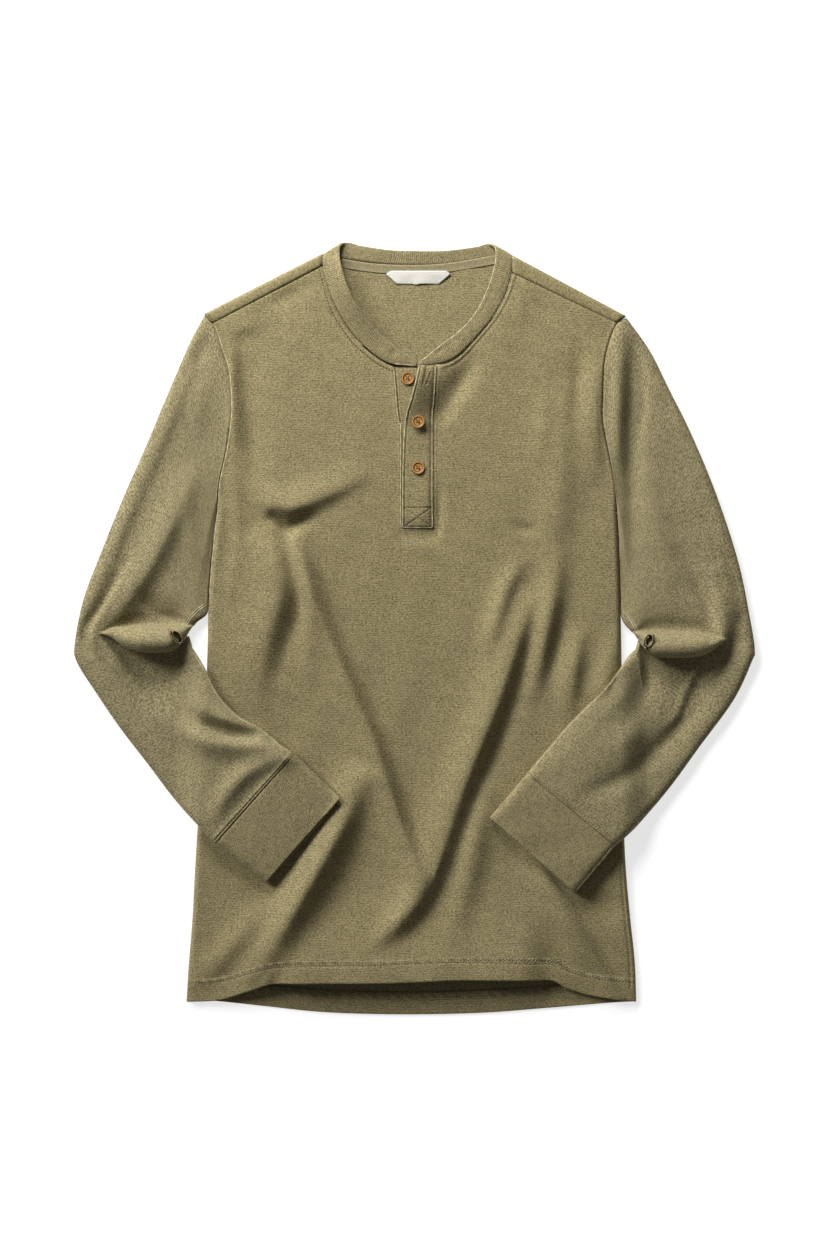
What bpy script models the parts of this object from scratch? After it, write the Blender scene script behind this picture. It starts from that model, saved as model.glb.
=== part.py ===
"""A long-sleeved henley shirt, laid flat with its front up and its forearms folded back over it.

Lengths are millimetres until a mesh is made. X points to the wearer's left, Y from the hem to
the neck and Z up from the surface that the shirt lies on. The origin is under its middle. Left
and right are the wearer's, so the right sleeve lies at -X.
"""

import math
from typing import NamedTuple

import bpy
import numpy as np

MM = 0.001  # a millimetre in Blender's metres

# Cloth and trims
CLOTH = 1.2  # one layer of the knit
DOUBLED = 2.2  # hems, cuffs, neckband and placket strips: two layers pressed together
TRIM = 0.7  # tape and label
GAP = 0.3  # kept between pieces that lie on each other
SEAM = 0.5  # kept between pieces across a seam

# How the shirt lies
REST = 8.0  # top of the front panel where it lies calm
FOOT = CLOTH + GAP  # where the front's side edge stands on the back
EDGE_ROUND = 16.0  # how far in the side edge rounds over
TIGHTEST = 1.7  # smallest radius that a rounded edge takes
AIR = 4.6  # least room between a sleeve's two layers
SLEEVE_ROUND = 9.0  # how far in a sleeve's folded edge rounds over
REST_ROUND = 4.0  # the same on the side it rests on
OVERLAY = 1.5  # a forearm's clearance over the front panel
DRAPE_OUT = 26.0  # where a forearm reaches the floor again, outside the body
DRAPE_IN = 4.0  # where it is fully up on the body
SHOULDER_RADIUS = REST / 2  # of the fold where the back panel turns over the shoulder

# Hem: depth of the doubled band, and how much its middle arches up off the back
HEM_DEPTH = 20.5
HEM_LINE = -335.0
HEM_ARCH = 10.0
HEM_ARCH_REACH = 55.0
HEM_ARCH_FROM, HEM_ARCH_TO = -150.0, 138.0
HEM_ARCH_BLEND = 38.0
HEM_CURVE_REACH = 150.0  # how far up the front's rows still follow the hem's curve
CORNER_DROP = 3.0
CORNER_REACH = 60.0

# Body edge, from the hem up: y, x on the wearer's right, x on the wearer's left
ARMPIT = 109.0
BODY_EDGE = (
    (-354.5, -217.0, 211.0),
    (-314.5, -214.5, 209.5),
    (-276.5, -211.5, 205.5),
    (-238.5, -209.5, 202.0),
    (-205.0, -207.5, 200.0),
    (-162.5, -204.5, 199.0),
    (-115.0, -202.0, 198.0),
    (-67.5, -199.0, 197.5),
    (-20.0, -197.0, 197.0),
    (27.5, -196.0, 196.0),
    (65.5, -193.5, 195.0),
    (ARMPIT, -188.5, 193.0),
    (141.5, -185.5, 189.5),
    (170.0, -179.0, 184.0),
    (198.5, -175.0, 179.0),
    (217.5, -174.5, 179.0),
    (246.0, -177.0, 180.0),
    (265.0, -183.0, 183.0),
    (279.5, -187.5, 187.5),
    (290.0, -191.5, 192.5),
)
ARMHOLE_BLEND = 26.0  # above the armpit, over which the front's edge rises to full height

# Hems, from the wearer's right to the left: x, y
FRONT_HEM = (
    (-217.0, -354.5), (-187.5, -353.0), (-158.0, -344.0), (-134.5, -336.5), (-99.5, -335.5),
    (-24.0, -335.0), (34.5, -332.5), (94.5, -332.5), (130.0, -333.5), (144.0, -341.0),
    (168.5, -348.5), (211.0, -354.5),
)
BACK_HEM = (
    (-217.0, -354.5), (-194.5, -353.8), (-143.0, -359.0), (-84.0, -365.0), (-10.0, -367.0),
    (64.0, -365.5), (124.0, -361.0), (183.5, -356.0), (211.0, -354.5),
)

# Shoulders: where the outline folds over and where the forward seam lies, tip and neck end
SHOULDERS = {
    -1: (((-199.0, 299.0), (-87.5, 353.5)), ((-191.5, 290.0), (-88.0, 345.0))),
    +1: (((201.0, 296.5), (93.5, 353.5)), ((192.5, 290.0), (93.5, 339.0))),
}

# Slot for the placket, from its bottom up to the neckline: y, x of each edge
SLOT_BOTTOM = 95.0
SLOT = {
    -1: ((SLOT_BOTTOM, -12.5), (187.0, -12.0), (194.0, -13.4), (209.0, -15.8), (227.0, -17.0),
        (248.0, -19.0)),
    +1: ((SLOT_BOTTOM, 18.8), (115.0, 17.9), (198.5, 17.9), (217.5, 19.3), (234.0, 20.4), (250.0, 21.8)),
}

# Neckline seam on the front, from the placket to the shoulder seam: x, y
NECKLINE = {
    -1: ((-19.0, 248.0), (-31.5, 257.5), (-43.0, 267.0), (-59.5, 285.0), (-73.5, 305.0), (-81.0, 323.0),
        (-88.0, 345.0)),
    +1: ((21.8, 250.0), (32.0, 252.5), (44.5, 261.0), (60.5, 279.5), (76.5, 299.0), (89.0, 319.0),
        (93.5, 339.0)),
}
BACK_NECKLINE = (
    (-87.7, 349.5), (-66.0, 347.6), (-28.0, 344.8), (3.5, 344.0), (34.5, 344.8), (75.5, 347.6),
    (93.5, 349.5),
)


class Fold(NamedTuple):
    """A ridge, or a trough where the height is negative.

    The crest runs through x, y, height points, from the hem upwards or from left to right, so
    that its left hand, the lit side, is up and left. Each side dies away over its own reach.
    """

    name: str
    crest: tuple
    lit: float
    shade: float


BODY_FOLDS = (
    Fold("chest drag, right", ((-146, 117, 0), (-132, 121, 4), (-109, 127.5, 5), (-71, 139.5, 4),
                               (-20, 153, 0)), 16, 9),
    Fold("waist swell, right", ((-128, -90, 0), (-140, -50, 6), (-141, 0, 8), (-150, 50, 6),
                                (-150, 100, 0)), 26, 17),
    Fold("waist ridge, right", ((-112, -95, 0), (-106, -50, 3), (-100, 0, 4), (-106, 55, 3),
                                (-114, 95, 0)), 9, 13),
    Fold("long drag line", ((-3, -232, 0), (-14, -191, 4), (-47, -105, 6), (-83, -10, 7), (-98, 37, 6),
                            (-113, 84, 0)), 17, 8),
    Fold("great ridge, left", ((-32, -298, 0), (-9, -274, 7), (21, -229, 10), (48, -153, 12), (86, -67, 12),
                               (102, -5, 9), (112, 38, 0)), 20, 12),
    Fold("side ridge, left", ((112, -70, 0), (121, -20, 8), (129, 20, 9), (138, 80, 0)), 12, 11),
    Fold("inner ridge, left", ((66, -28, 0), (77, 4, 4), (88, 38, 4), (108, 72, 0)), 10, 9),
    Fold("hip ridge, left", ((144, -92, 0), (151, -39, 5), (158, 5, 0)), 12, 9),
    Fold("outer hip ridge, left", ((172, -80, 0), (184, -39, 4), (190, 6, 0)), 10, 8),
    Fold("lower ridge, left", ((34, -300, 0), (50, -240, 5), (60, -186, 5), (73, -130, 0)), 12, 13),
    Fold("hem ridge, right", ((-160, -350, 3), (-143, -312, 10), (-113, -262, 13), (-76, -195, 12),
                              (-54, -146, 8), (-44, -124, 0)), 19, 15),
    Fold("corner ridge, right", ((-214, -340, 0), (-189, -319, 4), (-161, -286, 5),
                                 (-134, -250, 0)), 13, 11),
    Fold("hem drag, left", ((192, -350, 2), (166, -305, 5), (138, -262, 6), (106, -204, 0)), 15, 10),
    Fold("armhole ridge, right", ((-166, 160, 0), (-167, 190, 4), (-168, 225, 5), (-167, 262, 4),
                                  (-172, 288, 0)), 9, 10),
    Fold("armhole ridge, left", ((170, 130, 0), (171, 190, 4), (173, 235, 4), (178, 276, 0)), 14, 8),
    Fold("chest swell, left", ((125, 40, 0), (134, 100, 3), (138, 160, 4), (140, 200, 3),
                               (142, 236, 0)), 20, 14),
    Fold("below the placket", ((-26, 86, 0), (3, 87, -2), (40, 88, 0)), 8, 10),
)


class Station(NamedTuple):
    """One section of a flattened sleeve: its outer and inner edge, and how it lies."""

    outer_x: float
    outer_y: float
    inner_x: float
    inner_y: float
    on_body: float  # 0 where it lies on the floor, 1 where the body may lie under it
    depth: float  # from its resting side to its top


SLEEVES = {
    -1: (
        Station(-199.5, 298.5, -189.0, 109.0, 0, 8.0),
        Station(-213.5, 272.5, -191.9, 89.5, 0, 8.2),
        Station(-234.0, 225.0, -194.9, 65.5, 0, 8.4),
        Station(-255.0, 175.0, -196.5, 46.5, 0, 8.4),
        Station(-278.0, 122.5, -198.0, 30.5, 0, 8.6),
        Station(-299.0, 70.5, -204.0, 16.0, 0, 9.0),
        Station(-314.0, 27.5, -213.0, 4.0, 0, 9.4),
        Station(-323.0, -5.5, -216.5, -10.5, 0, 9.6),
        Station(-321.5, -31.5, -211.5, -22.0, 0.4, 9.4),
        Station(-303.5, -61.0, -199.0, -37.0, 1, 9.0),
        Station(-280.0, -94.0, -185.0, -62.5, 1, 9.4),
        Station(-253.0, -129.0, -167.5, -81.0, 1, 9.8),
        Station(-227.5, -162.5, -145.0, -94.0, 1, 10.0),
        Station(-204.0, -187.0, -125.0, -110.0, 1, 10.4),
        Station(-188.5, -203.5, -113.5, -118.0, 1, 11.0),
    ),
    +1: (
        Station(201.5, 296.0, 193.5, 109.0, 0, 8.0),
        Station(223.5, 265.0, 196.0, 88.0, 0, 8.2),
        Station(243.0, 226.0, 197.4, 66.0, 0, 8.4),
        Station(261.5, 189.0, 198.4, 48.0, 0, 8.4),
        Station(285.5, 132.0, 199.5, 31.0, 0, 8.6),
        Station(306.5, 65.5, 203.5, 10.0, 0, 9.0),
        Station(318.5, 8.5, 211.5, -4.5, 0, 9.4),
        Station(323.8, -18.0, 216.0, -13.5, 0, 9.6),
        Station(320.5, -36.0, 207.5, -24.5, 0.4, 9.4),
        Station(304.5, -67.5, 196.0, -37.0, 1, 9.0),
        Station(271.0, -112.0, 178.0, -58.0, 1, 9.6),
        Station(242.5, -151.0, 149.0, -87.0, 1, 10.0),
        Station(214.0, -184.0, 122.0, -118.0, 1, 10.4),
        Station(190.5, -205.0, 107.0, -136.0, 1, 11.0),
    ),
}
SLEEVE_STEPS = {
    -1: (2, 1, 1, 1, 2, 2, 4, 4, 2, 2, 1, 1, 1, 1),
    +1: (2, 1, 1, 1, 2, 2, 4, 4, 2, 2, 1, 1, 1),
}
ARMHOLE_FADE = 3.0  # stations over which a sleeve's sections straighten from the armhole's curve

# Cuff ends: outer x, y and inner x, y
CUFF_ENDS = {
    -1: Station(-141.0, -240.5, -70.0, -159.5, 1, 11.5),
    +1: Station(152.5, -250.0, 71.0, -178.5, 1, 11.5),
}

SLEEVE_FOLDS = {
    -1: (
        Fold("long ridge", ((-293, -4, 0), (-272, 27, 6), (-248, 65, 7), (-229, 104, 6), (-212, 155, 0)),
                            17, 10),
        Fold("edge ridge", ((-312, 10, 0), (-292, 60, 2.5), (-262, 130, 2.5), (-225, 215, 2),
                            (-206, 262, 0)), 8, 7),
        Fold("bend roll", ((-296, -2, 0), (-280, -4, 9), (-250, -6, 12), (-215, -5, 12)), 8, 9),
        Fold("forearm trough", ((-196, -78, 0), (-178, -90, -4), (-157, -93, -4), (-146, -96, 0)), 5, 8),
        Fold("forearm ridge", ((-240, -60, 0), (-214, -92, 5), (-185, -104, 6), (-145, -106, 5),
                               (-118, -116, 2)), 9, 11),
        Fold("cuff ridge", ((-192, -190, 0), (-183, -165, 4), (-158, -136, 5), (-124, -121, 2)), 9, 8),
        Fold("armhole crease", ((-206, 246, 0), (-203, 262, -2), (-200, 280, 0)), 5, 5),
    ),
    +1: (
        Fold("armhole ridge", ((193, 140, 0), (192, 180, 5), (193, 225, 6), (194, 265, 4),
                               (196, 285, 0)), 9, 8),
        Fold("armhole trough", ((205, 60, 0), (206, 130, -2), (207, 200, -2.5), (206, 262, 0)), 9, 10),
        Fold("long ridge", ((243, 10, 0), (238, 60, 2), (226, 120, 2), (218, 160, 0)), 12, 12),
        Fold("elbow ridge", ((300, -60, 0), (296, -10, 4), (290, 25, 4), (280, 60, 0)), 12, 11),
        Fold("bend roll", ((216, -6, 11), (240, -8, 12), (270, -7, 10), (292, -5, 0)), 8, 9),
        Fold("forearm trough", ((150, -158, 0), (178, -154, -4), (215, -131, -5), (248, -102, -6),
                                (272, -68, -6),
                                (286, -34, -4), (292, -8, 0)), 9, 10),
        Fold("forearm ridge", ((140, -130, 0), (190, -110, 3), (226, -78, 4), (250, -50, 0)), 20, 16),
    ),
}

# Neckband, from the centre front up the right side and round to the centre back. Seam edge and
# free edge of its outer face: x, y, z. Half way round it turns over at the shoulder.
BAND_RIGHT = (
    (2.6, 249.3, 8.6, 3.0, 252.9, 8.8),
    (-9.0, 249.8, 8.6, -4.5, 259.0, 8.8),
    (-19.0, 251.0, 8.6, -12.0, 265.5, 8.8),
    (-30.7, 258.6, 8.6, -20.5, 274.0, 8.8),
    (-42.3, 268.2, 8.6, -30.5, 284.0, 8.8),
    (-58.7, 285.9, 8.6, -45.5, 300.0, 8.8),
    (-72.6, 305.6, 8.6, -57.0, 316.5, 8.8),
    (-80.0, 323.4, 8.6, -65.5, 332.0, 8.8),
    (-86.2, 341.0, 8.6, -70.2, 343.5, 8.8),
    (-86.8, 347.0, 8.6, -69.5, 352.5, 8.8),
    (-86.8, 350.6, 8.4, -67.8, 360.5, 8.5),
    (-86.6, 352.8, 7.0, -66.9, 365.2, 7.2),
    (-86.4, 353.6, 4.5, -66.2, 367.0, 4.6),
    (-86.0, 352.9, 2.0, -64.5, 366.8, 2.1),
    (-84.5, 351.2, 0.4, -61.5, 366.2, 0.6),
    (-76.0, 350.0, 0.0, -57.0, 363.6, 0.3),
    (-66.0, 348.9, 0.0, -51.5, 361.4, 0.6),
    (-28.0, 346.0, 0.0, -24.0, 358.8, 1.0),
)
BAND_LEFT = (
    (3.9, 249.6, 8.6, 3.7, 252.9, 8.8),
    (14.0, 250.5, 8.6, 10.0, 260.0, 8.8),
    (24.5, 252.6, 8.6, 18.0, 267.5, 8.8),
    (32.0, 254.8, 8.6, 27.0, 275.0, 8.8),
    (43.4, 262.6, 8.6, 34.5, 281.5, 8.8),
    (59.8, 280.0, 8.6, 48.0, 294.0, 8.8),
    (75.7, 299.5, 8.6, 60.0, 310.0, 8.8),
    (88.1, 319.4, 8.6, 69.0, 326.5, 8.8),
    (92.5, 339.0, 8.6, 74.5, 341.0, 8.8),
    (92.6, 347.0, 8.6, 76.5, 351.5, 8.8),
    (92.6, 350.6, 8.4, 75.0, 359.5, 8.5),
    (92.5, 352.8, 7.0, 73.6, 364.2, 7.2),
    (92.4, 353.6, 4.5, 72.6, 366.6, 4.6),
    (92.0, 352.9, 2.0, 71.4, 366.6, 2.1),
    (90.5, 351.2, 0.4, 69.0, 366.0, 0.6),
    (84.0, 350.0, 0.0, 64.5, 364.4, 0.3),
    (75.5, 348.9, 0.0, 59.0, 362.4, 0.6),
    (34.5, 346.0, 0.0, 31.0, 358.8, 1.0),
)
BAND_BACK = (3.5, 345.2, 0.0, 3.5, 358.2, 1.2)

# Placket strips, from the bottom up: y, x of the right and of the left edge
UNDER_STRIP = (
    (95.4, -12.2, 14.0), (140.0, -11.7, 14.0), (186.0, -11.6, 14.0), (194.0, -12.8, 14.0),
    (209.0, -14.9, 14.5),
    (227.0, -16.4, 15.0), (247.6, -18.2, 16.0),
)
TOP_STRIP = (
    (95.4, -12.2, 18.4), (115.0, -12.0, 17.5), (159.5, -11.4, 17.5), (187.0, -10.0, 17.5),
    (203.5, -8.0, 17.6),
    (217.5, -3.6, 18.9), (234.0, 0.6, 20.0), (248.4, 3.6, 21.0),
)
UNDER_DROP = 0.4  # the under strip's face below the front's
TOP_LIFT = 2.1  # the top strip's face above the front's
COLLAR_LIFT = 4.0  # how far the top strip's free corner stands up at the neck
COLLAR_LIFT_REACH = 42.0
COLLAR_LIFT_ACROSS = 18.0
COLLAR_LIFT_CURL = 1.5  # power of the rise across the strip

# Buttons: x, y and the strip that carries each
BUTTONS = (
    ("button_1", -6.4, 238.0, "under"),
    ("button_2", 3.5, 196.5, "top"),
    ("button_3", 3.5, 153.0, "top"),
)
BUTTON_RADIUS = 6.4
BUTTON_HOLE_RADIUS = 0.8
BUTTON_HOLE_AWAY = 1.9
BUTTON_HOLE_SIDES = 8
BUTTON_HOLE_PIN = (-1.0, 4.0)  # bottom and top of the pin that cuts a hole
BUTTON_SIDES = 28
BUTTON_PROFILE = ((4.9, 0.0), (6.0, 0.5), (6.4, 1.3), (6.2, 2.1), (5.6, 2.6), (4.9, 2.5), (4.3, 1.9))

# Inside back neck: rows of y, x from and to, height of the face
LABEL_ROWS = ((328.5, -17.5, 24.0, 2.2), (337.6, -27.0, 34.5, 3.2), (340.6, -22.5, 30.0, 3.3))
LABEL_COLUMNS = 4
TAPE_DEPTH = 4.0
TAPE_ENDS = (0.1, 0.9)  # as shares of the back neckline
TAPE_COLUMNS = 13
BAND_COLUMNS = 5  # across the neckband

# Colours: linear red, green, blue
OLIVE = (0.235, 0.205, 0.115)
OLIVE_DARK = (0.19, 0.165, 0.095)
HORN = (0.13, 0.07, 0.035)
LABEL_WHITE = (0.72, 0.68, 0.60)


def smooth_line(points, steps=10):
    """Points along a smooth line through the given ones, with this many steps between each two."""
    knots = np.asarray(points, dtype=float)
    ring = np.vstack([2 * knots[0] - knots[1], knots, 2 * knots[-1] - knots[-2]])
    t = np.linspace(0.0, 1.0, steps, endpoint=False)[:, None]
    runs = []
    for a, b, c, d in zip(ring, ring[1:], ring[2:], ring[3:]):
        bend = 2 * a - 5 * b + 4 * c - d
        twist = 3 * b - a - 3 * c + d
        runs.append(0.5 * (2 * b + (c - a) * t + bend * t**2 + twist * t**3))
    runs.append(knots[-1:])
    return np.vstack(runs)


def along(points, shares):
    """Places on the smooth line through some points, at these shares of its length."""
    line = smooth_line(points)
    reach = np.concatenate([[0.0], np.cumsum(np.linalg.norm(np.diff(line, axis=0), axis=1))])
    wanted = np.asarray(shares) * reach[-1]
    return np.stack([np.interp(wanted, reach, line[:, k]) for k in range(line.shape[1])], axis=-1)


def ease(value):
    """0 below 0, 1 above 1 and smooth between."""
    t = np.clip(value, 0.0, 1.0)
    return t * t * (3 - 2 * t)


def round_over(inwards, reach):
    """The height share of a rounded edge, this far in from it."""
    left = 1.0 - np.clip(inwards / reach, 0.0, 1.0)
    return np.sqrt(1.0 - left * left)


EDGE_LINES = {
    side: smooth_line([(row[0], row[1 if side < 0 else 2]) for row in BODY_EDGE]) for side in (-1, 1)
}


def edge_x(y, side):
    """x of the body's edge at a height y."""
    return np.interp(y, EDGE_LINES[side][:, 0], EDGE_LINES[side][:, 1])


def fold_height(x, y, folds):
    """Sum of the folds' heights at points of the plan."""
    total = np.zeros(np.shape(x))
    for fold in folds:
        line = smooth_line(fold.crest, 6)
        nearest = np.full(np.shape(x), np.inf)
        height = np.zeros(np.shape(x))
        reach = np.ones(np.shape(x))
        for start, end in zip(line, line[1:]):
            run = end[:2] - start[:2]
            share = np.clip(((x - start[0]) * run[0] + (y - start[1]) * run[1]) / (run @ run), 0.0, 1.0)
            off_x = x - start[0] - share * run[0]
            off_y = y - start[1] - share * run[1]
            away = off_x**2 + off_y**2
            closer = away < nearest
            lit = run[0] * off_y - run[1] * off_x > 0
            nearest = np.where(closer, away, nearest)
            height = np.where(closer, start[2] + share * (end[2] - start[2]), height)
            reach = np.where(closer, np.where(lit, fold.lit, fold.shade), reach)
        total += height * np.exp(-nearest / reach**2)
    return total


def body_top(x, y):
    """Height of the front panel's upper face, before its side edges round down."""
    x = np.asarray(x, dtype=float)
    y = np.asarray(y, dtype=float)
    window = ease((x - HEM_ARCH_FROM) / HEM_ARCH_BLEND) * ease((HEM_ARCH_TO - x) / HEM_ARCH_BLEND)
    arch = HEM_ARCH * window * np.exp(-(((y - HEM_LINE) / HEM_ARCH_REACH) ** 2))
    corners = 0.0
    for corner_x in (BODY_EDGE[0][1], BODY_EDGE[0][2]):
        corners = corners + np.exp(-((x - corner_x) ** 2 + (y - BODY_EDGE[0][0]) ** 2) / CORNER_REACH**2)
    return REST + arch - CORNER_DROP * corners + fold_height(x, y, BODY_FOLDS)


class Wall(NamedTuple):
    """A closed wall of cloth: its points in millimetres and its triangles."""

    points: np.ndarray
    faces: list


def wall(outer, thickness, keep=None, loop=False, flip=False, lowest=None):
    """A wall with this outer face, its inner face the cloth's thickness behind it.

    outer is a grid of points, rows by columns. keep says which cells are there. loop joins the
    last column to the first. flip turns the outer side round. thickness may differ by row, and
    so may lowest, the height that the inner face keeps above.
    """
    rows, columns = outer.shape[:2]
    wide = columns if loop else columns - 1
    cells = []
    for r in range(rows - 1):
        for c in range(wide):
            if keep is not None and not keep[r][c]:
                continue
            n = (c + 1) % columns
            cell = (r * columns + c, r * columns + n, (r + 1) * columns + n, (r + 1) * columns + c)
            cells.append(cell[::-1] if flip else cell)
    points = outer.reshape(-1, 3)
    normal = np.zeros_like(points)
    for cell in cells:
        a, b, c, d = points[list(cell)]
        normal[list(cell)] += np.cross(c - a, d - b)
    length = np.linalg.norm(normal, axis=1, keepdims=True)
    normal /= np.where(length > 0, length, 1.0)
    deep = np.broadcast_to(np.reshape(thickness, (-1, 1)), (rows, columns)).reshape(-1, 1)
    inner = points - normal * deep
    if lowest is not None:
        bottom = np.broadcast_to(np.reshape(lowest, (-1, 1)), (rows, columns)).reshape(-1)
        inner[:, 2] = np.maximum(inner[:, 2], bottom)
    count = len(points)
    faces = []
    edges = set()
    for a, b, c, d in cells:
        faces += [(a, b, c), (a, c, d)]
        faces += [(c + count, b + count, a + count), (d + count, c + count, a + count)]
        edges.update([(a, b), (b, c), (c, d), (d, a)])
    for a, b in sorted(edges):
        if (b, a) not in edges:
            faces += [(b, a, a + count), (b, a + count, b + count)]
    return Wall(np.vstack([points, inner]), faces)


def add_node(name, piece, color, roughness=0.9, metallic=0.0):
    """One named object with its own material, its unused points left out."""
    used = sorted({index for face in piece.faces for index in face})
    place = {index: k for k, index in enumerate(used)}
    mesh = bpy.data.meshes.new(name)
    faces = [[place[k] for k in face] for face in piece.faces]
    mesh.from_pydata((piece.points[used] * MM).tolist(), [], faces)
    mesh.validate()
    material = bpy.data.materials.new(name)
    material.use_nodes = True
    shader = material.node_tree.nodes["Principled BSDF"]
    shader.inputs["Base Color"].default_value = (*color, 1.0)
    shader.inputs["Roughness"].default_value = roughness
    shader.inputs["Metallic"].default_value = metallic
    mesh.materials.append(material)
    node = bpy.data.objects.new(name, mesh)
    bpy.context.scene.collection.objects.link(node)
    return node


# ---------------------------------------------------------------- front panel

SIDE_STEPS = (0.0, 0.8, 3.0, 7.0, 12.0)  # columns near a side edge, by their distance from it
HALF_COLUMNS = 15  # evenly spaced ones from there to the slot
SLOT_COLUMNS = 3
HEM_ROWS = 2  # rows of the doubled hem, on the front and on the back
BODY_ROWS, PLACKET_ROWS, NECK_ROWS = 19, 7, 8
BAND_STEP = 1.0  # over which the hem's second layer ends
PLACKET_SIDE_Y, NECK_SIDE_Y = (100.0, 200.0)  # heights at the side of the rows that meet the slot's ends


def slot_x(y, side):
    """x of the slot's edge, or of its line carried on down to the hem."""
    line = smooth_line(SLOT[side])
    return np.interp(y, line[:, 0], line[:, 1])


def front_rows():
    """For each row of the front: y at the side, and its place where it meets the middle."""
    hem_y = BODY_EDGE[0][0]
    sides = [np.array([hem_y, hem_y + HEM_DEPTH])]
    sides.append(np.linspace(hem_y + HEM_DEPTH + BAND_STEP, PLACKET_SIDE_Y, BODY_ROWS))
    sides.append(np.linspace(PLACKET_SIDE_Y, NECK_SIDE_Y, PLACKET_ROWS + 1)[1:])
    sides.append(np.linspace(NECK_SIDE_Y, BODY_EDGE[-1][0], NECK_ROWS + 1)[1:])
    middles = {}
    for side in (-1, 1):
        low = [HEM_LINE, HEM_LINE + HEM_DEPTH]
        low += list(np.linspace(HEM_LINE + HEM_DEPTH + BAND_STEP, SLOT_BOTTOM, BODY_ROWS))
        low += list(np.linspace(SLOT_BOTTOM, SLOT[side][-1][0], PLACKET_ROWS + 1)[1:])
        straight = np.stack([slot_x(np.array(low), side), low], axis=-1)
        neck = along(NECKLINE[side], np.linspace(0.0, 1.0, NECK_ROWS + 1)[1:])
        middles[side] = np.vstack([straight, neck])
    return np.concatenate(sides), middles


def front_half(side, sides, middles):
    """Plan points and side distances of one half of the front, from its side to the slot."""
    plan, inwards = [], []
    hem = smooth_line(FRONT_HEM)
    for y, middle in zip(sides, middles):
        start = np.array([edge_x(y, side), y])
        length = np.linalg.norm(middle - start)
        rest = np.linspace(SIDE_STEPS[-1], length, HALF_COLUMNS + 1)[1:]
        steps = np.concatenate([SIDE_STEPS, rest])
        plan.append(start + (middle - start) * (steps / length)[:, None])
        inwards.append(steps)
    plan = np.array(plan)
    first = plan[0]
    sag = np.interp(first[:, 0], hem[:, 0], hem[:, 1]) - first[:, 1]
    follow = np.clip(1.0 - (sides - sides[0]) / HEM_CURVE_REACH, 0.0, 1.0) ** 2
    plan[:, :, 1] += follow[:, None] * sag[None, :]
    return plan, np.array(inwards)


def front_panel():
    """The front: two halves and the strip between them, with the slot left open."""
    sides, middles = front_rows()
    halves = {}
    foot = np.where(np.arange(len(sides)) <= HEM_ROWS, DOUBLED + GAP, FOOT)[:, None]
    for side in (-1, 1):
        plan, inwards = front_half(side, sides, middles[side])
        top = body_top(plan[..., 0], plan[..., 1])
        reach = np.minimum(EDGE_ROUND, (top - foot) ** 2 / TIGHTEST)
        fall = round_over(inwards, reach)
        opened = ease((sides - ARMPIT) / ARMHOLE_BLEND)[:, None]
        top = foot + (top - foot) * (fall + (1.0 - fall) * opened)
        halves[side] = np.dstack([plan, top])
    strip = []
    for k in range(1, SLOT_COLUMNS):
        share = k / SLOT_COLUMNS
        place = halves[-1][:, -1] * (1 - share) + halves[1][:, -1] * share
        place[:, 2] = body_top(place[:, 0], place[:, 1])
        strip.append(place[:, None])
    outer = np.concatenate([halves[-1], *strip, halves[1][:, ::-1]], axis=1)
    rows, columns = outer.shape[:2]
    keep = np.ones((rows - 1, columns - 1), dtype=bool)
    slot_from = halves[-1].shape[1] - 1
    keep[BODY_ROWS + 1:, slot_from:slot_from + SLOT_COLUMNS] = False
    thickness = np.where(np.arange(rows) < HEM_ROWS, DOUBLED, CLOTH)
    return wall(outer, thickness, keep, lowest=foot)


# ----------------------------------------------------------------- back panel

SHOULDER_COLUMNS, NECKLINE_COLUMNS = 5, 10
BACK_ROWS = (8, 13)  # below and above the armpit
TOP_ROW_GAP = 5.0  # between the last level row and the back's top edge
TURN_ROWS = 5  # round the shoulder fold


def shoulder_turn(side, shares):
    """Rows of the strip that turns over a shoulder, from the floor to the forward seam."""
    fold, seam = (np.array(pair) for pair in SHOULDERS[side])
    crest = fold[0] + (fold[1] - fold[0]) * shares[:, None]
    end = seam[0] + (seam[1] - seam[0]) * shares[:, None]
    width = np.linalg.norm(end - crest, axis=1, keepdims=True)
    inward = (end - crest) / width
    rows = []
    for angle in np.linspace(0.0, math.pi, TURN_ROWS + 1):
        off = SHOULDER_RADIUS * (1.0 - math.sin(angle))
        rise = SHOULDER_RADIUS * (1.0 - math.cos(angle))
        rows.append(np.column_stack([crest + inward * off, np.full(len(crest), rise)]))
    last = crest + inward * (width - SEAM)
    rows.append(np.column_stack([last, np.full(len(last), REST)]))
    return np.array(rows)


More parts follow.
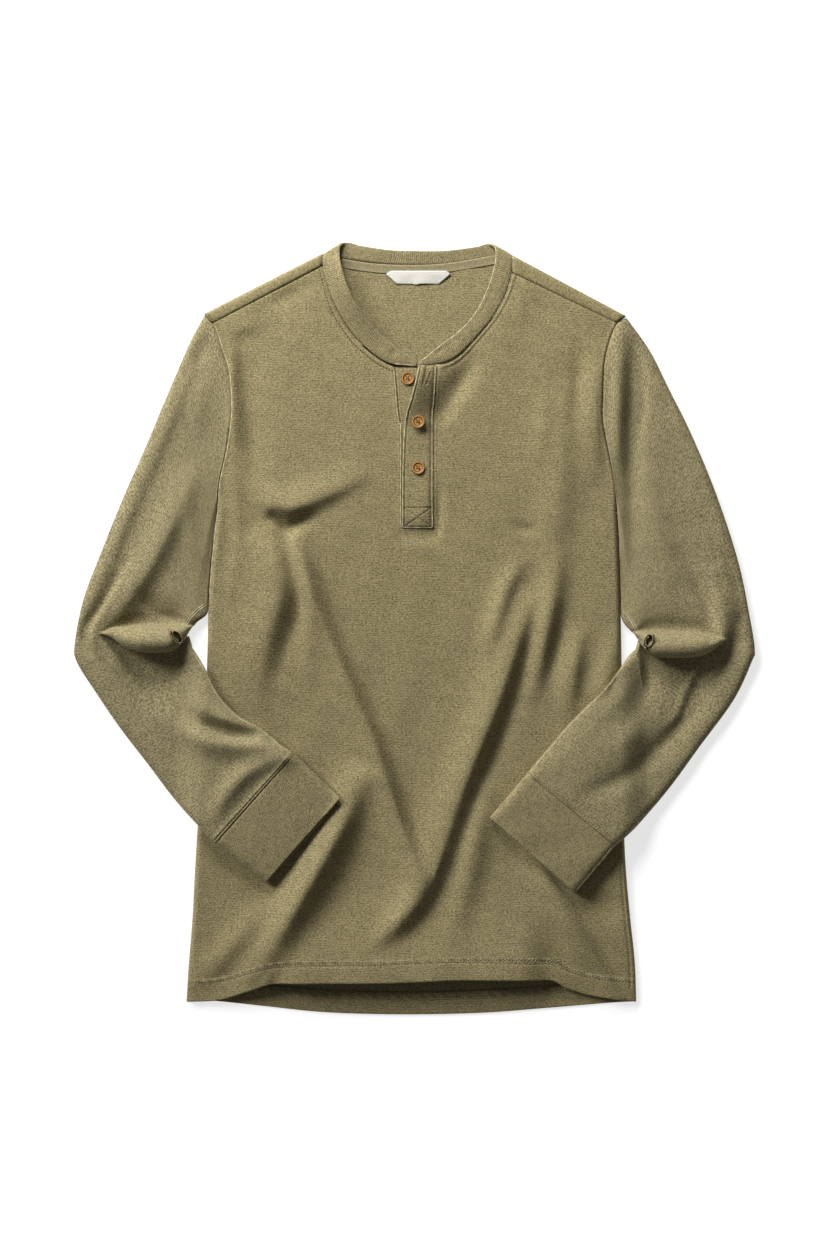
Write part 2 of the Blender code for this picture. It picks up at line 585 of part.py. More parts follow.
def back_panel():
    """The back: flat on the floor, with a strip turned up and over each shoulder."""
    right = shoulder_turn(-1, np.linspace(0.0, 1.0, SHOULDER_COLUMNS + 1))
    left = shoulder_turn(1, np.linspace(1.0, 0.0, SHOULDER_COLUMNS + 1))
    neck = along(BACK_NECKLINE, np.linspace(0.0, 1.0, NECKLINE_COLUMNS + 1))[1:-1]
    top = np.vstack([right[0, :, :2], neck, left[0, :, :2]])
    share = (top[:, 0] - top[0, 0]) / (top[-1, 0] - top[0, 0])
    hem = smooth_line(BACK_HEM)
    hem_x = BODY_EDGE[0][1] + share * (BODY_EDGE[0][2] - BODY_EDGE[0][1])
    hem_y = np.interp(hem_x, hem[:, 0], hem[:, 1])
    hem_side = BODY_EDGE[0][0]
    levels = [hem_side, hem_side + HEM_DEPTH]
    levels += list(np.linspace(hem_side + HEM_DEPTH + BAND_STEP, ARMPIT, BACK_ROWS[0]))
    levels += list(np.linspace(ARMPIT, BODY_EDGE[-1][0], BACK_ROWS[1])[1:])
    grid = []
    for y in levels:
        rise = (y - hem_side) / (BODY_EDGE[-1][0] + TOP_ROW_GAP - hem_side)
        row_x = (1 - rise) * hem_x + rise * top[:, 0]
        row_y = (1 - rise) * hem_y + rise * top[:, 1]
        row_x = row_x + (1 - share) * (edge_x(y, -1) - row_x[0]) + share * (edge_x(y, 1) - row_x[-1])
        row_y = row_y + (1 - share) * (y - row_y[0]) + share * (y - row_y[-1])
        grid.append(np.column_stack([row_x, row_y, np.zeros(len(top))]))
    blank = np.zeros((len(neck), 3))
    for k in range(len(right)):
        middle = np.column_stack([neck, np.zeros(len(neck))]) if k == 0 else blank
        grid.append(np.vstack([right[k], middle, left[k]]))
    outer = np.array(grid)
    rows, columns = outer.shape[:2]
    keep = np.ones((rows - 1, columns - 1), dtype=bool)
    keep[len(levels):, SHOULDER_COLUMNS:columns - 1 - SHOULDER_COLUMNS] = False
    thickness = np.where(np.arange(rows) < HEM_ROWS, DOUBLED, CLOTH)
    return wall(outer, thickness, keep, flip=True)


# --------------------------------------------------------------- sleeves, cuffs

EDGE_COLUMNS = (0.0, 1.0, 3.2, 6.5)  # columns near a sleeve's folded edge, from that edge
TOP_COLUMNS = 10  # evenly spaced cells between them on top
REST_EDGE = (1.0, 4.0)  # columns near the edge on the resting side
REST_COLUMNS = 8
EDGE_HEIGHT = 0.45  # of a sleeve's folded edge, as a share of its depth
CUFF_RINGS = 6


def at_station(table, station):
    """The smoothly interpolated row of a table at a station that need not be whole."""
    steps = 12
    values = smooth_line(table, steps)
    places = np.arange(len(values)) / steps
    return Station(*(float(np.interp(station, places, column)) for column in values.T))


def overlay(x, y, folds):
    """How high the front panel holds up what lies over it, with or without its folds."""
    inside = np.where(x < 0, x - edge_x(y, -1), edge_x(y, 1) - x)
    lift = ease((inside + DRAPE_OUT) / (DRAPE_OUT + DRAPE_IN))
    height = body_top(x, y) if folds else np.full(np.shape(x), REST)
    return lift * (height + OVERLAY)


def section(side, station, cloth, bend=0.0, seam=None):
    """One ring of a sleeve or cuff: over the top from the outer edge to the inner, then back under."""
    outer = np.array([station.outer_x, station.outer_y])
    inner = np.array([station.inner_x, station.inner_y])
    on_body = min(max(station.on_body, 0.0), 1.0)
    width = np.linalg.norm(inner - outer)
    step = np.array(EDGE_COLUMNS)
    middle = np.linspace(step[-1], width - step[-1], TOP_COLUMNS + 1)[1:-1]
    over = np.concatenate([step, middle, width - step[::-1]])
    rest = np.array(REST_EDGE)
    middle = np.linspace(rest[-1], width - rest[-1], REST_COLUMNS + 1)[1:-1]
    under = np.concatenate([rest, middle, width - rest[::-1]])[::-1]
    away = np.concatenate([over, under])
    share = away / width
    plan = outer + (inner - outer) * share[:, None]
    if bend > 0:
        chord = seam[0] + (seam[-1] - seam[0]) * share[:, None]
        plan = plan + bend * (along(seam, share) - chord)
    x, y = plan.T
    floor = on_body * overlay(x, y, True)
    top = on_body * overlay(x, y, False) + station.depth + bend * (body_top(x, y) - REST)
    top = np.maximum(top + fold_height(x, y, SLEEVE_FOLDS[side]), floor + AIR + 2 * cloth)
    middle_z = floor + EDGE_HEIGHT * station.depth
    nearest = np.minimum(away, width - away)
    upper = middle_z + (top - middle_z) * round_over(nearest, SLEEVE_ROUND)
    lower = middle_z - (middle_z - floor) * round_over(nearest, REST_ROUND)
    z = np.where(np.arange(len(away)) < len(over), upper, lower)
    return np.column_stack([plan, z])


def sleeve(side):
    """A sleeve from the armhole to the cuff seam."""
    table = SLEEVES[side]
    stations = [0.0]
    for whole, steps in enumerate(SLEEVE_STEPS[side]):
        stations += [whole + (k + 1) / steps for k in range(steps)]
    column = 1 if side < 0 else 2
    armhole = [(row[column] + side * SEAM, row[0] - SEAM) for row in BODY_EDGE if row[0] >= ARMPIT]
    seam = np.array([(table[0].outer_x, table[0].outer_y), *armhole[::-1]])
    rings = []
    for station in stations:
        bend = max(0.0, 1.0 - station / ARMHOLE_FADE) ** 2
        rings.append(section(side, at_station(table, station), CLOTH, bend, seam))
    return wall(np.array(rings), CLOTH, loop=True, flip=side < 0)


def cuff(side):
    """A cuff, from just past the sleeve's end to its own open end."""
    start, end = SLEEVES[side][-1], CUFF_ENDS[side]
    length = math.dist(start[:2], end[:2])
    rings = []
    for share in np.linspace(SEAM / length, 1.0, CUFF_RINGS):
        station = Station(*(a + (b - a) * share for a, b in zip(start, end)))
        rings.append(section(side, station, DOUBLED))
    return wall(np.array(rings), DOUBLED, loop=True, flip=side < 0)


# ------------------------------------------------- neckband, placket, small pieces


def neckband():
    """The band: one strip from the centre front round the neck and back to it."""
    stations = [*BAND_RIGHT, BAND_BACK, *BAND_LEFT[::-1]]
    line = smooth_line(stations, 1)
    grid = []
    for share in np.linspace(0.0, 1.0, BAND_COLUMNS):
        grid.append(line[:, :3] * (1 - share) + line[:, 3:] * share)
    return wall(np.array(grid), DOUBLED, flip=True)


def strip(rows, face, across=4, between=2):
    """A placket strip between its two edges, its face at the height that face(x, y) gives."""
    line = smooth_line(rows, between)
    grid = []
    for y, low, high in line:
        x = np.linspace(low, high, across + 1)
        height = np.full(len(x), y)
        grid.append(np.column_stack([x, height, face(x, height)]))
    return wall(np.array(grid), DOUBLED)


def under_face(x, y):
    """Height of the under strip's face."""
    return body_top(x, y) - UNDER_DROP


def top_face(x, y):
    """Height of the top strip's face, its free corner lifted at the neck."""
    corner = TOP_STRIP[-1]
    up = np.exp(-(((y - corner[0]) / COLLAR_LIFT_REACH) ** 2))
    across = np.clip((corner[2] - x) / COLLAR_LIFT_ACROSS, 0.0, 1.0) ** COLLAR_LIFT_CURL
    return body_top(x, y) + TOP_LIFT + COLLAR_LIFT * up * across


def turned(profile, sides):
    """A solid turned about Z from radius, height points that start at the bottom and end on top."""
    points = [(0.0, 0.0, profile[0][1])]
    for radius, height in profile:
        for k in range(sides):
            angle = 2 * math.pi * k / sides
            points.append((radius * math.cos(angle), radius * math.sin(angle), height))
    points.append((0.0, 0.0, profile[-1][1]))
    faces = []
    last = len(points) - 1
    for k in range(sides):
        n = (k + 1) % sides
        faces.append((0, 1 + n, 1 + k))
        for ring in range(len(profile) - 1):
            low, high = 1 + ring * sides, 1 + (ring + 1) * sides
            faces += [(low + k, low + n, high + n), (low + k, high + n, high + k)]
        top = 1 + (len(profile) - 1) * sides
        faces.append((top + k, top + n, last))
    return Wall(np.array(points), faces)


def hole_cutters(x, y, z):
    """Four pins that cut a button's holes."""
    pin = turned([(BUTTON_HOLE_RADIUS, height) for height in BUTTON_HOLE_PIN], BUTTON_HOLE_SIDES)
    points, faces = [], []
    for k in range(4):
        angle = math.pi / 4 + k * math.pi / 2
        place = (x + BUTTON_HOLE_AWAY * math.cos(angle), y + BUTTON_HOLE_AWAY * math.sin(angle), z)
        faces += [tuple(index + len(points) * len(pin.points) for index in face) for face in pin.faces]
        points.append(pin.points + place)
    cutter = add_node(f"cut_{x:.0f}_{y:.0f}", Wall(np.vstack(points), faces), HORN)
    cutter.hide_render = True
    cutter.display_type = "WIRE"
    return cutter


def button(name, x, y, carrier):
    """A four-hole button with a raised rim, lying on its placket strip."""
    face = under_face if carrier == "under" else top_face
    angles = np.linspace(0.0, 2 * math.pi, BUTTON_SIDES, endpoint=False)
    z = float(face(x + BUTTON_RADIUS * np.cos(angles), y + BUTTON_RADIUS * np.sin(angles)).max()) + GAP
    disc = turned(BUTTON_PROFILE, BUTTON_SIDES)
    node = add_node(name, Wall(disc.points + (x, y, z), disc.faces), HORN, roughness=0.35)
    holes = node.modifiers.new("holes", "BOOLEAN")
    holes.operation = "DIFFERENCE"
    holes.solver = "EXACT"
    holes.object = hole_cutters(x, y, z)
    return node


def neck_label():
    """A blank woven label, its top edge over the tape."""
    grid = []
    for y, low, high, z in LABEL_ROWS:
        x = np.linspace(low, high, LABEL_COLUMNS)
        grid.append(np.column_stack([x, np.full(LABEL_COLUMNS, y), np.full(LABEL_COLUMNS, z)]))
    return wall(np.array(grid), TRIM)


def neck_tape():
    """The tape that covers the back neck seam, on the inside."""
    edge = along(BACK_NECKLINE, np.linspace(*TAPE_ENDS, TAPE_COLUMNS))
    z = CLOTH + GAP + TRIM
    grid = []
    for drop in (GAP + TAPE_DEPTH, GAP):
        grid.append(np.column_stack([edge[:, 0], edge[:, 1] - drop, np.full(len(edge), z)]))
    return wall(np.array(grid), TRIM)


def build():
    """Every piece of the shirt."""
    for item in list(bpy.data.objects):
        bpy.data.objects.remove(item, do_unlink=True)
    add_node("front", front_panel(), OLIVE)
    add_node("back", back_panel(), OLIVE)
    for side, name in ((-1, "right"), (1, "left")):
        add_node(f"sleeve_{name}", sleeve(side), OLIVE)
        add_node(f"cuff_{name}", cuff(side), OLIVE)
    add_node("neckband", neckband(), OLIVE_DARK)
    add_node("neck_tape", neck_tape(), OLIVE_DARK)
    add_node("placket_under", strip(UNDER_STRIP, under_face), OLIVE)
    add_node("placket_top", strip(TOP_STRIP, top_face), OLIVE)
    for name, x, y, carrier in BUTTONS:
        button(name, x, y, carrier)
    add_node("neck_label", neck_label(), LABEL_WHITE)


build()
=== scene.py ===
"""Dresses the laid henley shirt: knitted cloth with its folds, seams, stitches, buttons and label.

Lengths are millimetres until a mesh is made. X points to the wearer's left, Y from the hem to the
neck and Z up from the surface that the shirt lies on. Left and right are the wearer's, so the right
sleeve lies at -X. Folds are lit from the upper left: their soft side faces -X and +Y.
"""

import logging
import math
from collections.abc import Callable, Sequence
from dataclasses import astuple, dataclass, field
from enum import Enum

import bpy
import numpy as np
from mathutils.bvhtree import BVHTree
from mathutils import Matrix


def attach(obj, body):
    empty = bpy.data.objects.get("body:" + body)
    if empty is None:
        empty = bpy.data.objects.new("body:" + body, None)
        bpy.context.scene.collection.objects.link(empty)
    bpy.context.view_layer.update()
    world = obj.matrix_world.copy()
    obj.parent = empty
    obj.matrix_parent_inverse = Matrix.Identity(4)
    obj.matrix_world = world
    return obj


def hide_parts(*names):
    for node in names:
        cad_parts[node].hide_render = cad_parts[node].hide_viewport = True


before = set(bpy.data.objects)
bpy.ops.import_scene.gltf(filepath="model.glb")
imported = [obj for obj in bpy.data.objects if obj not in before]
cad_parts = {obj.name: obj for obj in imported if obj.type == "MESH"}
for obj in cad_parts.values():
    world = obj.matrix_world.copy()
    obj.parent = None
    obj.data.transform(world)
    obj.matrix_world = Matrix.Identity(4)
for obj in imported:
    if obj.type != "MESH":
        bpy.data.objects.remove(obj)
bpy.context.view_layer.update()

log = logging.getLogger("henley")
MM = 0.001
Array = np.ndarray
Points2 = tuple[tuple[float, float], ...]
Points3 = tuple[tuple[float, float, float], ...]
Pair = tuple[float, float]
Floats = tuple[float, ...]
Height = Callable[[Array, Array], Array]
Object = bpy.types.Object
Material = bpy.types.Material


# ---------- how the shirt lies

CLOTH = 0.8  # one layer of the knit
TURN = 1.0  # radius of a turned hem, cuff or band edge, which gives a doubled edge of 2 mm
GAP = 0.3
REST = 8.0  # top of the front panel where it lies calm
FOOT = 1.5  # height of the front's side edge
HEM_FOOT = 3.2  # the same where both hems are doubled
EDGE_ROUND = 5.5  # how far in the side edge rounds over
TIGHTEST = 1.7  # smallest radius that a rounded edge takes
AIR = 2.2  # least room between a sleeve's two layers
WALL = 0.9  # what each of those layers takes up
SLEEVE_ROUND = 9.0  # how far in a sleeve's edges round over, above and below
REST_ROUND = 4.0
OVERLAY = 1.5  # a forearm's clearance over the front panel
DRAPE_OUT, DRAPE_IN = 26.0, 4.0  # where a forearm climbs onto the body
SHOULDER_RADIUS = REST / 2
EDGE_HEIGHT = 0.45  # share of a sleeve's depth at which its edges lie
UP = (0.0, 0.0, 1.0)
SIDES = {-1: "right", +1: "left"}  # the wearer's

HEM_LINE = -335.0
HEM_ARCH, HEM_ARCH_REACH = 10.0, 55.0
HEM_ARCH_FROM, HEM_ARCH_TO, HEM_ARCH_BLEND = -150.0, 138.0, 38.0
HEM_CURVE_REACH = 150.0
BACK_NEEDLES = 17.0  # from the back's hem edge to its zigzag
CORNER_DROP, CORNER_REACH = 3.0, 60.0

ARMPIT = 109.0
BODY_EDGE: Points3 = (
    (-354.5, -217, 211), (-314.5, -214.5, 209.5), (-276.5, -211.5, 205.5), (-238.5, -209.5, 202),
    (-205, -207.5, 200), (-162.5, -204.5, 199), (-115, -202, 198), (-67.5, -199, 197.5),
    (-20, -197, 197), (27.5, -196, 196), (65.5, -193.5, 195), (ARMPIT, -188.5, 193),
    (141.5, -185.5, 189.5), (170, -179, 184), (198.5, -175, 179), (217.5, -174.5, 179),
    (246, -177, 180), (265, -183, 183), (279.5, -187.5, 187.5), (290, -191.5, 192.5),
)
ARMHOLE_BLEND = 26.0
FRONT_HEM: Points2 = (
    (-217, -354.5), (-187.5, -353), (-158, -344), (-134.5, -336.5), (-99.5, -335.5),
    (-24, -335), (34.5, -332.5), (94.5, -332.5), (130, -333.5), (144, -341),
    (168.5, -348.5), (211, -354.5),
)
BACK_HEM: Points2 = (
    (-217, -354.5), (-194.5, -353.8), (-143, -359), (-84, -365), (-10, -367),
    (64, -365.5), (124, -361), (183.5, -356), (211, -354.5),
)
SHOULDERS = {  # where the outline folds over and where the forward seam lies, tip and neck end
    -1: (((-200.2, 299.6), (-87.2, 357.2)), ((-191.5, 290), (-87.6, 344.8))),
    +1: (((201.3, 297.5), (92.6, 355.6)), ((192.5, 290), (93.3, 338))),
}
SLOT_BOTTOM = 95.0
SLOT = {  # y, x of the placket opening's edges
    -1: ((SLOT_BOTTOM, -12.5), (187, -12), (194, -13.4), (209, -15.8), (227, -17), (248, -19)),
    +1: ((SLOT_BOTTOM, 18.8), (115, 17.9), (198.5, 17.9), (217.5, 19.3), (234, 20.4), (250, 21.8)),
}
NECKLINE = {
    -1: ((-19, 248), (-31.5, 254), (-43.5, 262.6), (-58, 276), (-70, 293), (-79.6, 313),
         (-87.6, 344)),
    +1: ((21.8, 250), (32, 252.5), (44.5, 261), (60.5, 278.5), (76.3, 298), (87.6, 319),
         (93.3, 337.6)),
}
BACK_NECKLINE: Points2 = (
    (-87.7, 354), (-68, 350.2), (-46, 346.6), (-24, 344.8), (3.5, 344.4), (24, 345.4), (42, 347.6),
    (61, 350.8), (76, 353.6), (93.5, 356),
)


# ---------- geometry

def smooth_line(points: Sequence, steps: int = 10) -> Array:
    """A smooth line through some points.

    Args:
        points: the points that it runs through.
        steps: how many pieces each stretch between two of them is cut into.

    Returns:
        The points of the line.
    """
    knots = np.asarray(points, dtype=float)
    ring = np.vstack([2 * knots[0] - knots[1], knots, 2 * knots[-1] - knots[-2]])
    t = np.linspace(0.0, 1.0, steps, endpoint=False)[:, None]
    runs = []
    for a, b, c, d in zip(ring, ring[1:], ring[2:], ring[3:]):
        bend = 2 * a - 5 * b + 4 * c - d
        twist = 3 * b - a - 3 * c + d
        runs.append(0.5 * (2 * b + (c - a) * t + bend * t**2 + twist * t**3))
    runs.append(knots[-1:])
    return np.vstack(runs)


def lengths(line: Array) -> Array:
    """The distance along a line at each of its points."""
    return np.concatenate([[0.0], np.cumsum(np.linalg.norm(np.diff(line, axis=0), axis=1))])


def along(points: Sequence, shares: Array) -> Array:
    """Places on the smooth line through some points, at these shares of its length."""
    line = smooth_line(points)
    reach = lengths(line)
    wanted = np.asarray(shares) * reach[-1]
    return np.stack([np.interp(wanted, reach, line[:, k]) for k in range(line.shape[1])], axis=-1)


def read(line: Array, at: Array, column: int = 1) -> Array:
    """Another column of a line's points, at places of their first, which increases."""
    return np.interp(at, line[:, 0], line[:, column])


def ease(value: Array) -> Array:
    """0 below 0, 1 above 1 and smooth between."""
    t = np.clip(value, 0.0, 1.0)
    return t * t * (3 - 2 * t)


def bell(value: Array) -> Array:
    """1 at 0, dying away smoothly on both sides."""
    return np.exp(-np.square(value))


def round_over(inwards: Array, reach: Array) -> Array:
    """The height share of a rounded edge, this far in from it."""
    left = 1.0 - np.clip(inwards / reach, 0.0, 1.0)
    return np.sqrt(1.0 - left * left)


def unit(vectors: Array) -> Array:
    """Vectors in the same directions, one long."""
    return vectors / np.maximum(np.linalg.norm(vectors, axis=-1, keepdims=True), 1e-9)


def profile(away: Array, ridges: Sequence) -> Array:
    """Height beside a line: each ridge is a height, its distance from the line and its reach."""
    return sum(height * bell((away - place) / reach) for height, place, reach in ridges)


def line_distance(x: Array, y: Array, line: Array) -> tuple[Array, Array, Array]:
    """How far points of the plan lie from a line.

    Args:
        x: the points' x.
        y: the points' y.
        line: the line's points; columns past the second are values that run along it.

    Returns:
        The distance, the values at the nearest place, and whether the point is on the line's left.
    """
    nearest = np.full(np.shape(x), np.inf)
    values = np.zeros((*np.shape(x), max(line.shape[1] - 2, 1)))
    left = np.zeros(np.shape(x), dtype=bool)
    for start, end in zip(line, line[1:]):
        run = end[:2] - start[:2]
        share = np.clip(((x - start[0]) * run[0] + (y - start[1]) * run[1]) / max(run @ run, 1e-9), 0.0, 1.0)
        off_x = x - start[0] - share * run[0]
        off_y = y - start[1] - share * run[1]
        away = off_x**2 + off_y**2
        closer = away < nearest
        nearest = np.where(closer, away, nearest)
        left = np.where(closer, run[0] * off_y - run[1] * off_x > 0, left)
        if line.shape[1] > 2:
            here = start[2:] + share[..., None] * (end[2:] - start[2:])
            values = np.where(closer[..., None], here, values)
    return np.sqrt(nearest), values, left


def distance(x: Array, y: Array, line: Sequence) -> Array:
    """How far points of the plan lie from a plan line."""
    return line_distance(x, y, np.asarray(line, dtype=float))[0]


EDGE_LINES = {side: smooth_line([(row[0], row[1 if side < 0 else 2]) for row in BODY_EDGE]) for side in (-1, 1)}


def edge_x(y: Array, side: int) -> Array:
    """x of the body's edge at a height y."""
    return read(EDGE_LINES[side], y)


@dataclass(frozen=True)
class Fold:
    """A soft ridge of cloth, or a trough where its height is negative.

    The crest runs through x, y, height points, from the hem upwards or from left to right, so that
    its left hand is the lit side. Each side dies away over its own reach.
    """

    name: str
    crest: Points3
    lit: float
    shade: float

    def height(self, x: Array, y: Array) -> Array:
        """The fold's height at points of the plan."""
        line = smooth_line(self.crest, 6)
        total = np.zeros(np.shape(x))
        margin = 3.0 * max(self.lit, self.shade)
        low, high = line[:, :2].min(axis=0) - margin, line[:, :2].max(axis=0) + margin
        near = (x > low[0]) & (x < high[0]) & (y > low[1]) & (y < high[1])
        if near.any():
            away, value, left = line_distance(x[near], y[near], line)
            total[near] = value[:, 0] * bell(away / np.where(left, self.lit, self.shade))
        return total


def fold_height(x: Array, y: Array, folds: Sequence[Fold]) -> Array:
    """Sum of the folds' heights at points of the plan."""
    return sum((fold.height(x, y) for fold in folds), np.zeros(np.shape(x)))


def ripples(x: Array, y: Array, size: float, seed: int, shortest: float = 24.0, longest: float = 75.0) -> Array:
    """The slow unevenness of laid cloth: a few crossing waves.

    Args:
        x: the points' x.
        y: the points' y.
        size: the usual height of the waves.
        seed: which set of waves.
        shortest: the shortest wave.
        longest: the longest wave.

    Returns:
        The height at each point.
    """
    random = np.random.default_rng(seed)
    total = np.zeros(np.shape(x))
    count = 9
    for _ in range(count):
        angle, phase = random.uniform(0.0, 2 * math.pi, 2)
        turn = 2 * math.pi / random.uniform(shortest, longest)
        total += np.sin((x * math.cos(angle) + y * math.sin(angle)) * turn + phase)
    return size * total / math.sqrt(count)


BODY_FOLDS = (
    # the main folds, as the solids have them
    Fold("chest drag, right", (
        (-148, 108, 0), (-136, 117, 5), (-118, 115, 7), (-98, 121, 6), (-70, 134, 4), (-36, 152, 0)), 17, 8),
    Fold("waist swell, right", (
        (-154, -84, 0), (-148, -42, 5), (-139, -5, 8.5), (-130, 30, 10.5), (-131, 60, 9.5), (-135, 84, 5),
        (-141, 102, 0)), 26, 13),
    Fold("waist ridge, right", (
        (-106, -72, 0), (-100, -24, 2.5), (-99, 15, 4.5), (-103, 45, 5.5), (-110, 76, 4), (-117, 98, 0)), 8, 11),
    Fold("long drag line", (
        (8, -252, 0), (2, -226, 6), (-12, -187, 9.5), (-38, -108, 10.5), (-58, -60, 10.5), (-80, -8, 10),
        (-98, 38, 9), (-109, 70, 5), (-116, 90, 0)), 16, 6),
    Fold("great ridge, left", (
        (-32, -298, 0), (-9, -274, 7), (17, -233, 9.8), (46, -150, 10.2), (78, -72, 10), (92, -30, 9.2),
        (101, 2, 7.6), (112, 40, 0)), 21, 9),
    Fold("side ridge, left", ((112, -70, 0), (121, -20, 7.5), (129, 20, 8), (138, 80, 0)), 12, 10),
    Fold("inner ridge, left", ((66, -28, 0), (76, 4, 5.5), (87, 38, 5.5), (106, 72, 0)), 10, 8),
    Fold("hip ridge, left", ((144, -92, 0), (151, -39, 6), (158, 5, 0)), 12, 8),
    Fold("outer hip ridge, left", ((172, -80, 0), (184, -39, 4), (190, 6, 0)), 10, 8),
    Fold("lower ridge, left", ((34, -300, 0), (50, -240, 5), (60, -186, 5), (73, -130, 0)), 12, 13),
    Fold("hem ridge, right", (
        (-160, -350, 3), (-143, -312, 9.5), (-113, -262, 12.5), (-76, -195, 12), (-54, -146, 7), (-46, -128, 0)
    ), 19, 15),
    Fold("corner ridge, right", ((-214, -340, 0), (-189, -319, 4), (-161, -286, 5), (-134, -250, 0)), 13, 11),
    Fold("hem drag, left", ((192, -350, 2), (166, -305, 6.5), (138, -262, 8), (104, -200, 0)), 16, 7),
    Fold("armhole ridge, right", (
        (-170, 160, 0), (-171, 190, 2.2), (-171.5, 225, 2.6), (-173, 262, 2), (-179, 286, 0)), 4, 6),
    Fold("armhole ridge, left", ((170, 130, 0), (171, 190, 4), (173, 235, 4), (178, 276, 0)), 14, 8),
    Fold("chest swell, left", ((125, 40, 0), (134, 100, 3), (138, 160, 4), (140, 200, 3), (142, 236, 0)), 20, 14),
    Fold("below the placket", ((-26, 86, 0), (3, 87, -2), (40, 88, 0)), 8, 10),
)
PLACKET_LEAN = Fold("placket lean", ((-10, 194, 0), (-6, 206, 3), (-2.5, 217, 6), (0.5, 229, 7),
                                     (3, 240, 5.6), (5, 250, 1.6)), 3.5, 20)
FINE_FOLDS = (
    PLACKET_LEAN,
    Fold("wedge by the placket", ((20, 192, 0), (31, 212, -4.6), (42, 231, -6.2), (55, 252, -2)), 12, 9),
    Fold("notch, right", ((-140, 112, 0), (-131, 104, -3), (-121, 96, -4.5), (-108, 102, -3.4), (-90, 111, 0)), 6, 6),
    Fold("armhole valley, right", (
        (-150, 136, 0), (-154, 172, -3.4), (-158, 205, -4), (-161, 235, -4), (-163, 262, -2.8), (-168, 284, 0)
    ), 8, 16),
    Fold("chest valley, outer left", ((150, 186, 0), (154, 215, -2.2), (156, 245, -2.4), (152, 268, 0)), 7, 9),
    Fold("beside the placket's foot", ((25, 150, 0), (24, 118, -2.4), (22, 96, -2.8), (20, 82, 0)), 4, 10),
    Fold("below the placket's foot", ((-18, 84, 0), (2, 80, 1.4), (20, 78, 0)), 5, 9),
    Fold("chest crease", ((86, 103, 0), (104, 95, -2.4), (119, 93, 0)), 4, 5),
    Fold("chest ridge, inner", ((118, 150, 0), (122, 195, 1.5), (124, 235, 0)), 8, 7),
    Fold("waist valley, right", (
        (-134, -60, 0), (-123, -16, -2.6), (-114, 12, -4.2), (-111, 38, -4.6), (-118, 66, -4.2), (-126, 92, -2.4),
        (-130, 104, 0)), 7, 8),
    Fold("side pleat, right", ((-176, 20, 0), (-168, 80, 2.2), (-171, 140, 2), (-176, 172, 0)), 7, 8),
    Fold("side pleat, far right", ((-192, 30, 0), (-186, 90, 1.6), (-186, 126, 0)), 5, 6),
    Fold("great ridge foot", ((-44, -306, 0), (-28, -288, 3), (-6, -262, 3), (14, -230, 0)), 8, 8),
    Fold("valley by the great ridge", (
        (38, -212, 0), (61, -146, -2.6), (84, -88, -3), (104, -26, -2), (112, 6, 0)), 7, 9),
    Fold("side valley, left", ((122, -66, 0), (133, -18, -2.4), (142, 30, 0)), 6, 7),
    Fold("hem ridge crest", ((-130, -296, 0), (-104, -252, 2.6), (-74, -200, 3), (-52, -160, 0)), 8, 7),
    Fold("hem pucker, right", ((-150, -352, 1.5), (-140, -334, 1.8), (-128, -316, 0)), 5, 5),
    Fold("hem pucker, left", ((141, -352, 1.4), (136, -334, 1.6), (124, -312, 0)), 6, 4),
    Fold("under the cuff, left", ((152, -246, 0), (176, -262, -3), (200, -280, 0)), 12, 14),
    Fold("shoulder drag, right", ((-184, 268, 0), (-160, 276, -1.2), (-128, 284, 0)), 8, 10),
    Fold("shoulder hollow, right", ((-152, 300, 0), (-116, 318, -1.6), (-92, 328, 0)), 7, 9),
    Fold("shoulder pucker 1, left", ((100, 334, 0), (108, 326, 1.2), (118, 308, 0)), 3.5, 4),
    Fold("shoulder pucker 2, left", ((96, 322, 0), (101, 310, 1), (104, 292, 0)), 3.5, 4),
)


def body_top(x: Array, y: Array) -> Array:
    """Height of the front panel's upper face, before its side edges round down.

    Args:
        x: of the points.
        y: of the points.

    Returns:
        The heights.
    """
    x = np.asarray(x, dtype=float)
    y = np.asarray(y, dtype=float)
    window = ease((x - HEM_ARCH_FROM) / HEM_ARCH_BLEND) * ease((HEM_ARCH_TO - x) / HEM_ARCH_BLEND)
    arch = HEM_ARCH * window * bell((y - HEM_LINE) / HEM_ARCH_REACH)
    corners = np.zeros(np.shape(x))
    for corner_x in BODY_EDGE[0][1:]:
        corners += bell(np.hypot(x - corner_x, y - BODY_EDGE[0][0]) / CORNER_REACH)
    folds = fold_height(x, y, BODY_FOLDS) + fold_height(x, y, FINE_FOLDS)
    return REST + arch - CORNER_DROP * corners + folds + ripples(x, y, 0.35, 3)


# ---------- mesh making

